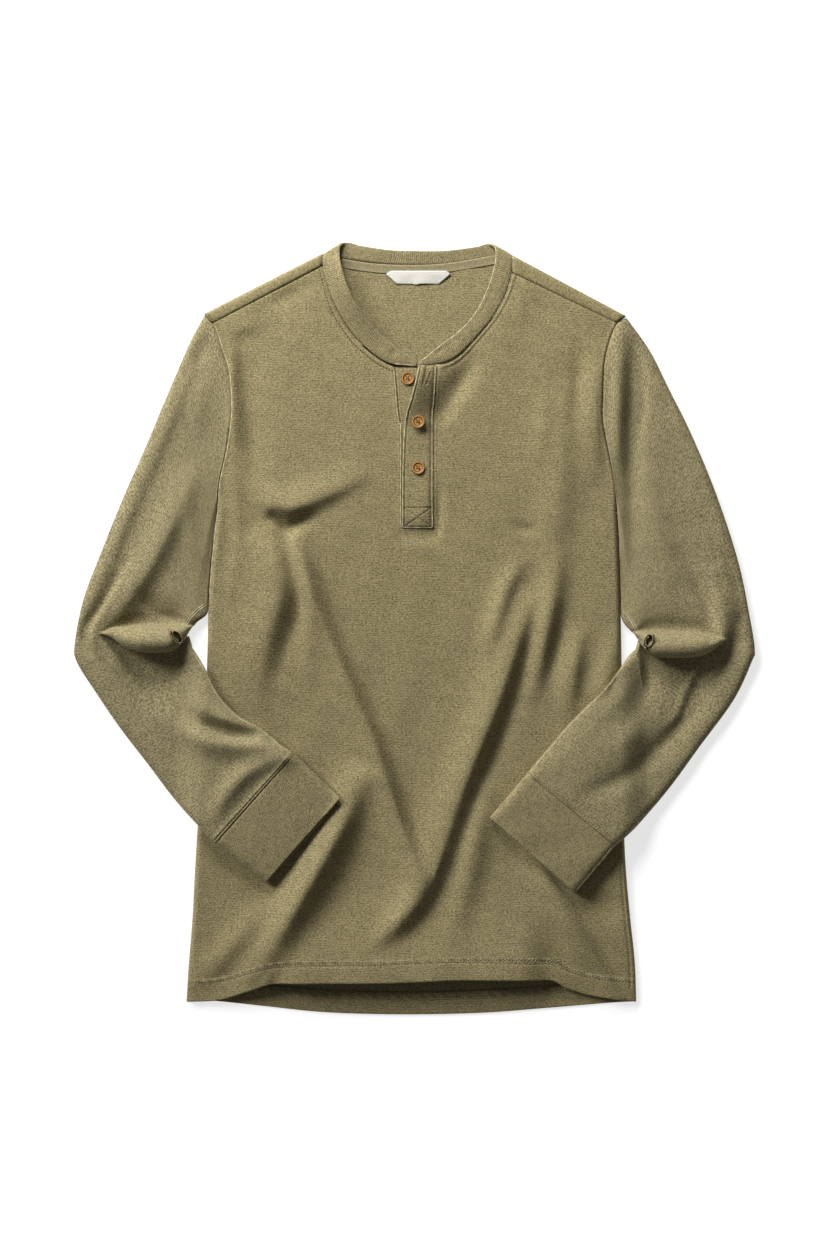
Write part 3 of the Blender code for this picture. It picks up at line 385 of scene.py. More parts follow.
@dataclass
class Grid:
    """A sheet's points in rows and columns, with the flat cloth's coordinates of each.

    Attributes:
        points: rows by columns by x, y, z.
        cloth: rows by columns by the place in the flat cloth, across and along. A looped grid has
            one column more here, where it closes.
        keep: the cells that are there, or None for all.
        loop: whether the last column joins the first.
        flip: whether the outer side is turned round.
    """

    points: Array
    cloth: Array
    keep: Array | None = None
    loop: bool = False
    flip: bool = False

    def normals(self) -> Array:
        """Outward directions at the points."""
        p = self.points
        if self.loop:
            across = np.roll(p, -1, axis=1) - np.roll(p, 1, axis=1)
        else:
            across = np.gradient(p, axis=1)
        normal = np.cross(across, np.gradient(p, axis=0))
        return -unit(normal) if self.flip else unit(normal)

    def turned(self, radius: float, inner: Sequence[int], lowest: float | None = None) -> "Grid":
        """The sheet with its first row's edge turned under.

        Args:
            radius: of the turned edge.
            inner: rows that the turned layer lies under, from the edge inwards.
            lowest: a height that the turned layer stays above.

        Returns:
            The grid with the new rows in front.
        """
        normal = self.normals()
        outward = unit(self.points[0] - self.points[1])
        rows, cloth = [], []
        for k in reversed(inner):
            rows.append(self.points[k] - 2 * radius * normal[k])
            cloth.append(self._below(-math.pi * radius - self._deep(k)))
        for angle in np.linspace(math.pi, 0.0, 6)[:-1]:
            bulge = radius * math.sin(angle) * outward
            rows.append(self.points[0] + bulge - radius * (1 - math.cos(angle)) * normal[0])
            cloth.append(self._below(-radius * angle))
        new = np.array(rows)
        if lowest is not None:
            new[..., 2] = np.maximum(new[..., 2], lowest)
        keep = self.keep
        if keep is not None:
            keep = np.vstack([np.ones((len(new), keep.shape[1]), dtype=bool), keep])
        return Grid(np.vstack([new, self.points]), np.vstack([cloth, self.cloth]), keep, self.loop, self.flip)

    def _deep(self, row: int) -> float:
        """How far a row lies from the first one, in the flat cloth."""
        return float(np.abs(self.cloth[row, :, 1] - self.cloth[0, :, 1]).mean())

    def _below(self, step: float) -> Array:
        """The first row's places in the cloth, moved along by a step."""
        return self.cloth[0] + (0.0, step)

    def piece(self, name: str, material: Material, slot: str, *nodes: str, thickness: float = CLOTH) -> Object:
        """A smooth-shaded piece of the sheet.

        Args:
            name: of the piece.
            material: that it is made of.
            slot: its material slot.
            nodes: the solids that it stands for.
            thickness: that the sheet gets on its inner side.

        Returns:
            The piece, at the origin, with its cloth coordinates in metres in the map "cloth".
        """
        rows, columns = self.points.shape[:2]
        wide = columns if self.loop else columns - 1
        r, c = np.meshgrid(np.arange(rows - 1), np.arange(wide), indexing="ij")
        keep = np.ones(r.shape, dtype=bool) if self.keep is None else self.keep
        r, c = r[keep], c[keep]
        corner_rows = np.stack([r, r, r + 1, r + 1], axis=1)
        corner_columns = np.stack([c, c + 1, c + 1, c], axis=1)
        if self.flip:
            corner_rows, corner_columns = corner_rows[:, ::-1], corner_columns[:, ::-1]
        faces = corner_rows * columns + corner_columns % columns
        used, faces = np.unique(faces, return_inverse=True)
        made = new_object(name, self.points.reshape(-1, 3)[used], faces.reshape(-1, 4), material)
        layer = made.data.uv_layers.new(name="cloth")
        places = self.cloth[corner_rows, corner_columns % self.cloth.shape[1]] * MM
        layer.data.foreach_set("uv", places.reshape(-1).astype(np.float32))
        shell = made.modifiers.new("thickness", "SOLIDIFY")
        shell.thickness = thickness * MM
        shell.offset = -1.0
        return finish_piece(made, slot, *nodes)


def plan_cloth(points: Array) -> Array:
    """Cloth coordinates of a sheet that lies nearly flat: its plan."""
    return points[..., :2].copy()


def new_object(name: str, points: Array, faces: Array, material: Material) -> Object:
    """A smooth-shaded object.

    Args:
        name: of the object and its mesh.
        points: in millimetres.
        faces: rows of point numbers.
        material: that it is made of.

    Returns:
        The object, in the scene.
    """
    mesh = bpy.data.meshes.new(name)
    mesh.from_pydata((points * MM).tolist(), [], faces.tolist())
    mesh.polygons.foreach_set("use_smooth", np.ones(len(mesh.polygons), dtype=bool))
    mesh.materials.append(material)
    made = bpy.data.objects.new(name, mesh)
    bpy.context.scene.collection.objects.link(made)
    return made


def finish_piece(made: Object, slot: str, *nodes: str) -> Object:
    """Makes a piece ride, hides the solids that it stands for, and reports it.

    Args:
        made: the piece.
        slot: not used.
        nodes: the solids that it stands for.

    Returns:
        The same piece.
    """
    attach(made, "root")
    if nodes:
        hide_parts(*nodes)
    log.info("%s: %d faces", made.name, len(made.data.polygons))
    return made


# ---------- materials

def linear(hex_color: str) -> tuple[float, float, float, float]:
    """The linear colour of an sRGB hex value such as #8F8464."""
    parts = (int(hex_color[k:k + 2], 16) / 255 for k in (1, 3, 5))
    return (*(p / 12.92 if p <= 0.04045 else ((p + 0.055) / 1.055) ** 2.4 for p in parts), 1.0)


def plug(node: bpy.types.Node, inputs: dict) -> None:
    """Sets a node's inputs.

    Args:
        node: that gets them.
        inputs: values, or other nodes' outputs to link, by the input's name or number.
    """
    for key, value in inputs.items():
        if isinstance(value, bpy.types.NodeSocket):
            node.id_data.links.new(value, node.inputs[key])
        else:
            node.inputs[key].default_value = value


def add(tree: bpy.types.NodeTree, kind: str, inputs: dict | None = None, out: int | str = 0,
        **settings: object) -> bpy.types.NodeSocket:
    """Adds a node.

    Args:
        tree: the material's tree.
        kind: the node's type, without the word that they all start with.
        inputs: values or other nodes' outputs, by the input's name or number.
        out: which output is wanted.
        settings: the node's own settings.

    Returns:
        The node's output.
    """
    made = tree.nodes.new(f"ShaderNode{kind}")
    for name, value in settings.items():
        setattr(made, name, value)
    plug(made, inputs or {})
    return made.outputs[out]


def new_material(name: str) -> tuple[Material, bpy.types.NodeTree, bpy.types.Node]:
    """A material with only its Principled shader and output.

    Args:
        name: of the material.

    Returns:
        The material, its tree and its shader.
    """
    material = bpy.data.materials.new(name)
    material.use_nodes = True
    tree = material.node_tree
    return material, tree, tree.nodes["Principled BSDF"]


@dataclass(frozen=True)
class Knit:
    """Cotton knit, piece dyed and brushed, so it is matt with a little pale pile on its edges.

    Real loops and rows are about 1 mm apart. Wale and course are drawn coarser, so that they show.

    Attributes:
        name: of the material.
        light: colour of the raised loops.
        dark: colour between them.
        wale: millimetres between loops in a row.
        course: millimetres between rows.
        relief: height of the loops, in millimetres.
        loops: how much of the grain comes from the loops, against the fuzz.
        rows: how much the rows stand out from that grain.
        spread: how far from its middle the shade reaches the light and the dark; small is lively.
        wander: periods over which the rows wander, and how far, in millimetres.
        stretch: how much finer than their spacing the loops' noise is, across and along.
        fuzz: millimetres between tufts of pile.
        patch: millimetres between patches of uneven dye.
        patchy: how much of the shade comes from the patches.
    """

    name: str
    light: str
    dark: str
    wale: float
    course: float
    relief: float
    loops: float
    rows: float = 0.05
    spread: float = 0.145
    roughness: float = 0.92
    sheen: float = 0.12
    wander: Points2 = ((70, 12), (8, 0.9))
    stretch: Pair = (1.45, 1.6)
    fuzz: float = 1.2
    patch: float = 7.0
    patchy: float = 0.13

    def make(self) -> Material:
        """The material, on the piece's own cloth coordinates."""
        material, tree, shader = new_material(self.name)
        cloth = add(tree, "VectorMath", {0: add(tree, "UVMap", uv_map="cloth"), "Scale": 1 / MM}, operation="SCALE")
        for period, reach in self.wander:
            noise = add(tree, "TexNoise", {"Vector": cloth, "Scale": 1 / period, "Detail": 1.0}, "Color")
            shift = add(tree, "VectorMath", {0: noise, 1: (0.5, 0.5, 0.5)}, operation="SUBTRACT")
            shift = add(tree, "VectorMath", {0: shift, "Scale": reach}, operation="SCALE")
            cloth = add(tree, "VectorMath", {0: cloth, 1: shift}, operation="ADD")
        turned = add(tree, "Math", {0: add(tree, "SeparateXYZ", {0: cloth}, "Y"), 1: 2 * math.pi / self.course},
                     operation="MULTIPLY")
        rows = add(tree, "MapRange", {0: add(tree, "Math", {0: turned}, operation="COSINE"), 1: -1.0, 2: 1.0})
        finer = (self.stretch[0] / self.wale, self.stretch[1] / self.course, 0.0)
        squeezed = add(tree, "VectorMath", {0: cloth, 1: finer}, operation="MULTIPLY")
        loops = add(tree, "TexNoise", {"Vector": squeezed, "Scale": 1.0, "Detail": 1.0})
        fuzz = add(tree, "TexNoise", {"Vector": cloth, "Scale": 1 / self.fuzz, "Detail": 2.0})
        patches = add(tree, "TexNoise", {"Vector": cloth, "Scale": 1 / self.patch, "Detail": 3.0})
        grain = add(tree, "Mix", {0: self.loops, 2: fuzz, 3: loops})
        fine = add(tree, "Mix", {0: self.rows, 2: grain, 3: rows})
        shade = add(tree, "Mix", {0: self.patchy, 2: fine, 3: patches})
        spread = add(tree, "MapRange", {0: shade, 1: 0.5 - self.spread, 2: 0.5 + self.spread})
        plug(shader, {
            "Base Color": add(tree, "Mix", {0: spread, 6: linear(self.dark), 7: linear(self.light)}, 2,
                              data_type="RGBA"),
            "Normal": add(tree, "Bump", {"Height": fine, "Strength": 1.0, "Distance": self.relief * MM}),
            "Roughness": self.roughness, "Sheen Weight": self.sheen, "Sheen Roughness": 0.5,
            "Sheen Tint": linear("#E9E2C4"), "Specular IOR Level": 0.25,
        })
        return material


@dataclass(frozen=True)
class Thread:
    """Spun polyester sewing thread: a twisted strand with a faint gloss, its twist drawn coarser than real. It also
    colours the pale edge rolls, which are a painted highlight, and the dark lines, which are painted shade.
    """

    name: str
    color: str
    deep: str
    twist: float = 0.9

    def make(self) -> Material:
        """The material, with its twist as slanted bands."""
        material, tree, shader = new_material(self.name)
        place = add(tree, "TexCoord", out="Object")
        bands = add(tree, "TexWave", {"Vector": place, "Scale": 0.05 / (self.twist * MM)}, 1,
                    bands_direction="DIAGONAL")
        color = add(tree, "Mix", {0: bands, 6: linear(self.deep), 7: linear(self.color)}, 2, data_type="RGBA")
        plug(shader, {"Base Color": color, "Roughness": 0.6})
        return material


@dataclass(frozen=True)
class Horn:
    """Polished brown horn, turned: rings from the lathe and slow streaks, under a satin polish, with painted shade in
    its turned groove and at its edge.

    Attributes:
        name: of the material.
        light: colour of the clear horn.
        dark: colour in its grain, and of the painted shade in its turned groove and at its edge.
        groove: radius of the turned groove, in millimetres.
        groove_shade_reach: distances from the groove at which its painted shade is darkest and ends.
        edge: radii between which the edge darkens, partly its own darker side and partly a painted contact shadow.
        clear: how much of the colour comes from the painted shade of groove and edge, against the grain.
    """

    name: str
    light: str
    dark: str
    groove: float = 4.1
    groove_shade_reach: Pair = (0.25, 0.9)
    edge: Pair = (5.3, 5.95)
    clear: float = 0.72

    def make(self) -> Material:
        """The material, on the piece's own cloth coordinates, which are centred on each button."""
        material, tree, shader = new_material(self.name)
        uv = add(tree, "UVMap", uv_map="cloth")
        rings = add(tree, "TexWave", {"Vector": uv, "Scale": 90.0, "Distortion": 3.0, "Detail": 2.0}, 1,
                    wave_type="RINGS", rings_direction="Z")
        streaks = add(tree, "TexNoise", {"Vector": uv, "Scale": 420.0, "Detail": 4.0})
        grain = add(tree, "Mix", {0: 0.6, 2: rings, 3: streaks})
        away = add(tree, "VectorMath", {0: uv}, "Value", operation="LENGTH")
        # painted shade: darker in the turned groove, and a painted contact shadow at the edge
        off = add(tree, "Math", {0: away, 1: self.groove * MM}, operation="SUBTRACT")
        off = add(tree, "Math", {0: off}, operation="ABSOLUTE")
        (near, far), (inside, outside) = self.groove_shade_reach, self.edge
        ring = add(tree, "MapRange", {0: off, 1: near * MM, 2: far * MM, 3: 0.0, 4: 1.0})
        edge = add(tree, "MapRange", {0: away, 1: inside * MM, 2: outside * MM, 3: 1.0, 4: 0.0})
        lit = add(tree, "Math", {0: ring, 1: edge}, operation="MULTIPLY")
        mixed = add(tree, "Mix", {0: self.clear, 2: grain, 3: lit})
        color = add(tree, "Mix", {0: mixed, 6: linear(self.dark), 7: linear(self.light)}, 2, data_type="RGBA")
        plug(shader, {"Base Color": color, "Roughness": 0.38, "IOR": 1.54})
        return material


@dataclass(frozen=True)
class WovenLabel:
    """Polyester damask, woven plain: smooth, off-white, with ribs drawn coarser than its real picks."""

    name: str
    light: str
    dark: str
    pick: float = 0.7

    def make(self) -> Material:
        """The material, with its picks as fine cross ribs."""
        material, tree, shader = new_material(self.name)
        uv = add(tree, "UVMap", uv_map="cloth")
        ribs = add(tree, "TexWave", {"Vector": uv, "Scale": 0.31 / (self.pick * MM), "Distortion": 0.4}, 1,
                   bands_direction="Y")
        color = add(tree, "Mix", {0: ribs, 6: linear(self.dark), 7: linear(self.light)}, 2, data_type="RGBA")
        plug(shader, {"Base Color": color, "Normal": add(tree, "Bump", {"Height": ribs, "Distance": 0.08 * MM}),
                      "Roughness": 0.55})
        return material


# ---------- the front

@dataclass
class FrontPanel:
    """The front: two halves joined below the placket, with its hem turned up inside."""

    column_gap: float = 3.6
    row_gap: float = 3.6
    side_steps: Floats = (0, 0.5, 1.1, 1.9, 2.8, 3.8, 4.6, 5.4, 6.4, 8, 10.2, 13, 16.5)
    slot_steps: Floats = (0, 0.5, 1, 1.5, 2, 2.6, 3.2, 3.8, 4.5, 5.3, 6.3, 7.6, 9.5)
    neck_gap: float = 2.3
    hem_steps: Floats = (
        1, 1.9, 3.4, 6, 9.5, 13, 16, 17.2, 17.9, 18.6, 19.4, 20.3, 21, 21.8, 23, 25.5,
    )
    shoulder_steps: Floats = (9, 6, 3.8, 2.4, 1.4, 0.6, 0)
    needle_rows: Pair = (17.9, 20.6)
    placket_side_y: float = 100.0
    neck_side_y: float = 200.0
    slot_top: float = 248.0
    neck_reach: float = 118.0
    half_width: float = 182.0
    under: float = 2.6  # how far the front runs on under the band and the top strip
    # ridges and grooves beside the seams: height, distance from the seam and reach
    neck_seam = {-1: ((0.15, 2, 0.9), (-0.35, 0, 0.7), (-0.25, 4.4, 1)),
                 +1: ((0.4, 2, 0.9), (-0.35, 0, 0.7), (-0.3, 4.4, 1))}
    slot_seam = {-1: ((0.3, 2.4, 1), (-0.1, 0, 0.8)), +1: ((0.3, 2.4, 1), (-0.2, 0, 0.8))}
    shoulder_seam: Points3 = ((-0.4, 0, 0.7),)
    foot_seam: Points3 = ((-0.15, 0, 0.8),)
    armhole_seam: Points3 = ((-0.8, 0, 0.8), (0.4, 2.4, 1.2))
    side_seam: Points3 = ((-0.9, 0, 1.1),)
    needle_pull: float = 0.4
    hem_step: float = 0.8  # how much higher the doubled hem stands

    def slot_x(self, y: Array, side: int) -> Array:
        """x of the slot's edge, or of its line carried on down to the hem."""
        line = smooth_line(SLOT[side])
        return read(line, y)

    def rows(self) -> tuple[Array, dict[int, Array], int]:
        """The rows' ends.

        Returns:
            y at the side, places at the middle of each half, and the first row beside the slot.
        """
        hem = np.array(self.hem_steps)
        low = np.linspace(0.0, 1.0, int((SLOT_BOTTOM - HEM_LINE) / self.row_gap))
        mid = np.linspace(0.0, 1.0, int((self.slot_top - SLOT_BOTTOM) / self.row_gap))[1:]
        reach = self.neck_reach
        neck = np.linspace(0.0, 1.0 - self.shoulder_steps[0] / reach, int(reach / self.neck_gap))[1:]
        neck = np.concatenate([neck, 1.0 - np.array(self.shoulder_steps[1:]) / reach])
        bottom = BODY_EDGE[0][0]
        body = bottom + hem[-1]
        sides = np.concatenate([
            bottom + hem[:-1], body + low * (self.placket_side_y - body),
            self.placket_side_y + mid * (self.neck_side_y - self.placket_side_y),
            self.neck_side_y + neck * (BODY_EDGE[-1][0] - self.neck_side_y),
        ])
        middles = {}
        for side in (-1, 1):
            body = HEM_LINE + hem[-1]
            y = np.concatenate([HEM_LINE + hem[:-1], body + low * (SLOT_BOTTOM - body),
                                SLOT_BOTTOM + mid * (SLOT[side][-1][0] - SLOT_BOTTOM)])
            straight = np.stack([self.slot_x(y, side), y], axis=-1)
            middles[side] = np.vstack([straight, along(NECKLINE[side], neck)])
        return sides, middles, len(hem) - 1 + len(low)

    def half(self, side: int, sides: Array, middles: Array) -> tuple[Array, Array]:
        """One half in plan.

        Args:
            side: -1 or +1.
            sides: y of the rows at the side.
            middles: their places at the middle.

        Returns:
            Plan points from the side to the slot, and their distances from the side.
        """
        plan, inwards = [], []
        hem = smooth_line(FRONT_HEM)
        count = int(self.half_width / self.column_gap)
        for y, middle in zip(sides, middles):
            start = np.array([edge_x(y, side), y])
            length = np.linalg.norm(middle - start)
            steps = np.concatenate([
                self.side_steps,
                np.linspace(self.side_steps[-1], length - self.slot_steps[-1], count)[1:-1],
                length - np.array(self.slot_steps[::-1]),
            ])
            plan.append(start + (middle - start) * (steps / length)[:, None])
            inwards.append(steps)
        plan = np.array(plan)
        sag = read(hem, plan[0, :, 0]) - plan[0, :, 1] + self.hem_steps[0]
        follow = np.clip(1.0 - (sides - BODY_EDGE[0][0]) / HEM_CURVE_REACH, 0.0, 1.0) ** 2
        plan[:, :, 1] += follow[:, None] * sag[None, :]
        return plan, np.array(inwards)

    def relief(self, x: Array, y: Array, sides: Array) -> Array:
        """The seams' grooves and ridges, and the doubled hem's step.

        Args:
            x: of the points.
            y: of the points.
            sides: y of their rows at the side.

        Returns:
            How much higher the points lie.
        """
        total = np.zeros(x.shape)
        for side in (-1, 1):
            total += profile(distance(x, y, smooth_line(NECKLINE[side], 6)), self.neck_seam[side])
            total += profile(distance(x, y, SHOULDERS[side][1]), self.shoulder_seam)
            total += profile(distance(x, y, smooth_line(SLOT[side], 6)[:, ::-1]), self.slot_seam[side])
        foot = [(SLOT[side][0][1], SLOT_BOTTOM) for side in (-1, 1)]
        total += profile(distance(x, y, foot), self.foot_seam)
        above = (sides - BODY_EDGE[0][0])[:, None]
        total += profile(above, [(-self.needle_pull, needle, 0.6) for needle in self.needle_rows])
        return total + self.hem_step * (1 - ease((above - self.needle_rows[1]) / 1.6))

    def side_relief(self, x: Array, y: Array) -> Array:
        """The side seam that shows just inside the left edge, low down."""
        line = [(edge_x(row, 1) - 5.0, row) for row in np.linspace(-340.0, 60.0, 60)]
        return ease((-120.0 - y) / 80.0) * profile(distance(x, y, line), self.side_seam)

    def build(self, material: Material) -> Object:
        """The front panel's piece."""
        sides, middles, slot_row = self.rows()
        hem_rows = len(self.hem_steps)
        foot = np.where(np.arange(len(sides)) < hem_rows, HEM_FOOT, FOOT).astype(float)
        blend = np.arange(hem_rows, hem_rows + 4)
        foot[blend] = np.linspace(HEM_FOOT, FOOT, len(blend) + 2)[1:-1]
        foot = foot[:, None]
        halves = {}
        for side in (-1, 1):
            plan, inwards = self.half(side, sides, middles[side])
            x, y = plan[..., 0], plan[..., 1]
            top = body_top(x, y)
            fall = round_over(inwards, np.minimum(EDGE_ROUND, (top - foot) ** 2 / TIGHTEST))
            opened = ease((sides - ARMPIT) / ARMHOLE_BLEND)[:, None]
            top = foot + (top - foot) * (fall + (1.0 - fall) * opened)
            top += self.relief(x, y, sides) * ease(inwards / 6.0)
            top += opened * profile(inwards, self.armhole_seam)
            if side > 0:
                top += self.side_relief(x, y)
            halves[side] = np.dstack([plan, top])
        strip = []
        columns = 7
        for k in range(1, columns):
            share = k / columns
            place = halves[-1][:, -1] * (1 - share) + halves[1][:, -1] * share
            place[:, 2] = body_top(place[:, 0], place[:, 1]) + self.relief(place[:, :1], place[:, 1:2], sides)[:, 0]
            strip.append(place[:, None])
        for side in (-1, 1):  # the edge that runs on under the band and the strips
            last, before = halves[side][:, -1], halves[side][:, -2]
            step = unit(last[:, :2] - before[:, :2])
            beside = np.arange(len(sides)) > slot_row
            reach = np.where(np.arange(len(sides)) >= len(sides) - 40, self.under, 0.8 if side < 0 else self.under)
            last[beside, :2] += (step * reach[:, None])[beside]
            last[beside, 2] -= 0.4 if side < 0 else 0.9
        points = np.concatenate([halves[-1], *strip, halves[1][:, ::-1]], axis=1)
        keep = np.ones((points.shape[0] - 1, points.shape[1] - 1), dtype=bool)
        slot_from = halves[-1].shape[1] - 1
        keep[slot_row:, slot_from:slot_from + columns] = False
        grid = Grid(points, plan_cloth(points), keep).turned(TURN, range(1, 9), lowest=HEM_FOOT - 0.7)
        made = grid.piece("front_panel", material, "knit", "front")
        return made


# ---------- the back

@dataclass
class BackPanel:
    """The back: flat on the surface, turned up and over each shoulder to the forward seams."""

    shoulder_columns: int = 24
    neck_columns: int = 56
    hem_steps: Floats = (1, 2, 4, 7, 10, 13, 16, 18, 19.5, 21, 24)
    body_rows: tuple[int, int] = (56, 54)  # below and above the armpit
    turn_rows: int = 9
    under: float = 3.6  # how far the back runs on under the neckband

    def shoulder_turn(self, side: int, shares: Array) -> Array:
        """Rows of the strip that turns over a shoulder, from the floor to the forward seam.

        Args:
            side: -1 or +1.
            shares: places along the shoulder, from its tip at 0 to the neck at 1.

        Returns:
            The rows' points.
        """
        fold, seam = (np.array(pair) for pair in SHOULDERS[side])
        crest = fold[0] + (fold[1] - fold[0]) * shares[:, None]
        end = seam[0] + (seam[1] - seam[0]) * shares[:, None]
        width = np.linalg.norm(end - crest, axis=1, keepdims=True)
        inward = (end - crest) / width
        rows = []
        for angle in np.linspace(0.0, math.pi, self.turn_rows + 1):
            place = crest + inward * SHOULDER_RADIUS * (1.0 - math.sin(angle))
            rows.append(np.column_stack([place, np.full(len(place), SHOULDER_RADIUS * (1.0 - math.cos(angle)))]))
        for left, drop in ((3.0, -0.25), (1.8, 0.0), (1.0, 0.4), (0.4, 0.9), (-0.4, 1.5)):
            last = crest + inward * np.maximum(width - left, SHOULDER_RADIUS)
            rows.append(np.column_stack([last, np.full(len(last), REST - drop)]))
        return np.array(rows)

    def grid(self) -> Grid:
        """The back's sheet."""
        right = self.shoulder_turn(-1, np.linspace(0.0, 1.0, self.shoulder_columns + 1))
        left = self.shoulder_turn(1, np.linspace(1.0, 0.0, self.shoulder_columns + 1))
        shares = np.linspace(0.0, 1.0, self.neck_columns + 1)[1:-1]
        neck = along(BACK_NECKLINE, shares) + np.stack([0 * shares, self.under * ease(9 * shares * (1 - shares))], -1)
        top = np.vstack([right[0, :, :2], neck, left[0, :, :2]])
        share = (top[:, 0] - top[0, 0]) / (top[-1, 0] - top[0, 0])
        hem = smooth_line(BACK_HEM)
        hem_x = BODY_EDGE[0][1] + share * (BODY_EDGE[0][2] - BODY_EDGE[0][1])
        hem_y = read(hem, hem_x)
        bottom = BODY_EDGE[0][0]
        levels = np.concatenate([
            bottom + np.array(self.hem_steps[:-1]),
            np.linspace(bottom + self.hem_steps[-1], ARMPIT, self.body_rows[0]),
            np.linspace(ARMPIT, BODY_EDGE[-1][0], self.body_rows[1])[1:],
        ])
        rows = []
        for y in levels:
            rise = (y - bottom) / (BODY_EDGE[-1][0] + 5.0 - bottom)
            row_x = (1 - rise) * hem_x + rise * top[:, 0]
            row_y = (1 - rise) * hem_y + rise * top[:, 1]
            row_x = row_x + (1 - share) * (edge_x(y, -1) - row_x[0]) + share * (edge_x(y, 1) - row_x[-1])
            row_y = row_y + (1 - share) * (y - row_y[0]) + share * (y - row_y[-1])
            calm = np.clip(0.2 + ripples(row_x, row_y, 0.22, 8), 0.0, 0.6)
            rows.append(np.column_stack([row_x, row_y, calm * ease((y - bottom - 30.0) / 40.0)]))
        blank = np.full((len(neck), 3), (0.0, 300.0, 0.0))
        for k in range(len(right)):
            middle = np.column_stack([neck, np.zeros(len(neck))]) if k == 0 else blank
            rows.append(np.vstack([right[k], middle, left[k]]))
        points = np.array(rows)
        keep = np.ones((points.shape[0] - 1, points.shape[1] - 1), dtype=bool)
        keep[len(levels):, self.shoulder_columns:points.shape[1] - 1 - self.shoulder_columns] = False
        cloth = plan_cloth(points)
        for columns in (slice(0, self.shoulder_columns + 1), slice(-self.shoulder_columns - 1, None)):
            edge = points[len(levels):, columns]
            step = np.linalg.norm(np.diff(edge, axis=0), axis=-1)
            run = np.vstack([np.zeros(step.shape[1]), np.cumsum(step, axis=0)])
            cloth[len(levels):, columns, 1] = edge[0, :, 1] + run
            cloth[len(levels):, columns, 0] = edge[0, :, 0]
        return Grid(points, cloth, keep, flip=True)

    def build(self, material: Material) -> Object:
        """The back panel's piece."""
        grid = self.grid().turned(TURN, range(1, 9), lowest=0.0)
        made = grid.piece("back_panel", material, "knit", "back")
        return made


# ---------- sleeves and cuffs

@dataclass(frozen=True)
class Station:
    """One section of a flattened sleeve: its outer and inner edge, and how it lies."""

    outer_x: float
    outer_y: float
    inner_x: float
    inner_y: float
    on_body: float
    depth: float


SLEEVES = {side: tuple(Station(*row) for row in rows) for side, rows in {
    -1: (
        (-199.5, 298.5, -188.5, 109, 0, 8), (-213.5, 272.5, -190.9, 89.5, 0, 8.2),
        (-234, 225, -193.3, 65.5, 0, 8.4), (-255, 175, -194.7, 46.5, 0, 8.4),
        (-278, 122.5, -195.7, 31, 0, 8.6), (-299, 70.5, -197, 14.8, 0, 9),
        (-315, 27.5, -208, 5, 0, 9.4), (-323.2, -14, -216.5, -10, 0, 9.6),
        (-321, -31.5, -209.5, -20, 0.4, 9.4), (-302.5, -61, -199, -36, 1, 9),
        (-280, -94, -185, -62.5, 1, 9.4), (-253, -129, -167.5, -81, 1, 9.8),
        (-227.5, -162.5, -145, -94, 1, 10), (-204, -187, -125, -110, 1, 10.4),
        (-188.5, -203.5, -113.5, -118, 1, 11),
    ),
    +1: (
        (201.5, 296, 193, 109, 0, 8), (223.5, 265, 194, 88, 0, 8.2),
        (243, 226, 194.8, 66, 0, 8.4), (261.5, 189, 195.3, 48, 0, 8.4),
        (285.5, 132, 195.8, 31, 0, 8.6), (307.5, 65.5, 197.2, 9, 0, 9),
        (319, 10.5, 209, -6, 0, 9.4), (323.6, -19.5, 213.5, -15.5, 0, 9.6),
        (321, -30.5, 204.5, -24, 0.4, 9.4), (303.5, -67.5, 196.5, -34.5, 1, 9),
        (271, -112, 178, -58, 1, 9.6), (242.5, -151, 149, -87, 1, 10),
        (214, -184, 122, -118, 1, 10.4), (190.5, -205, 107, -136, 1, 11),
    ),
}.items()}
CUFF_ENDS = {
    -1: Station(-141, -240.5, -70, -159.5, 1, 9),
    +1: Station(152.5, -250, 71, -178.5, 1, 9),
}
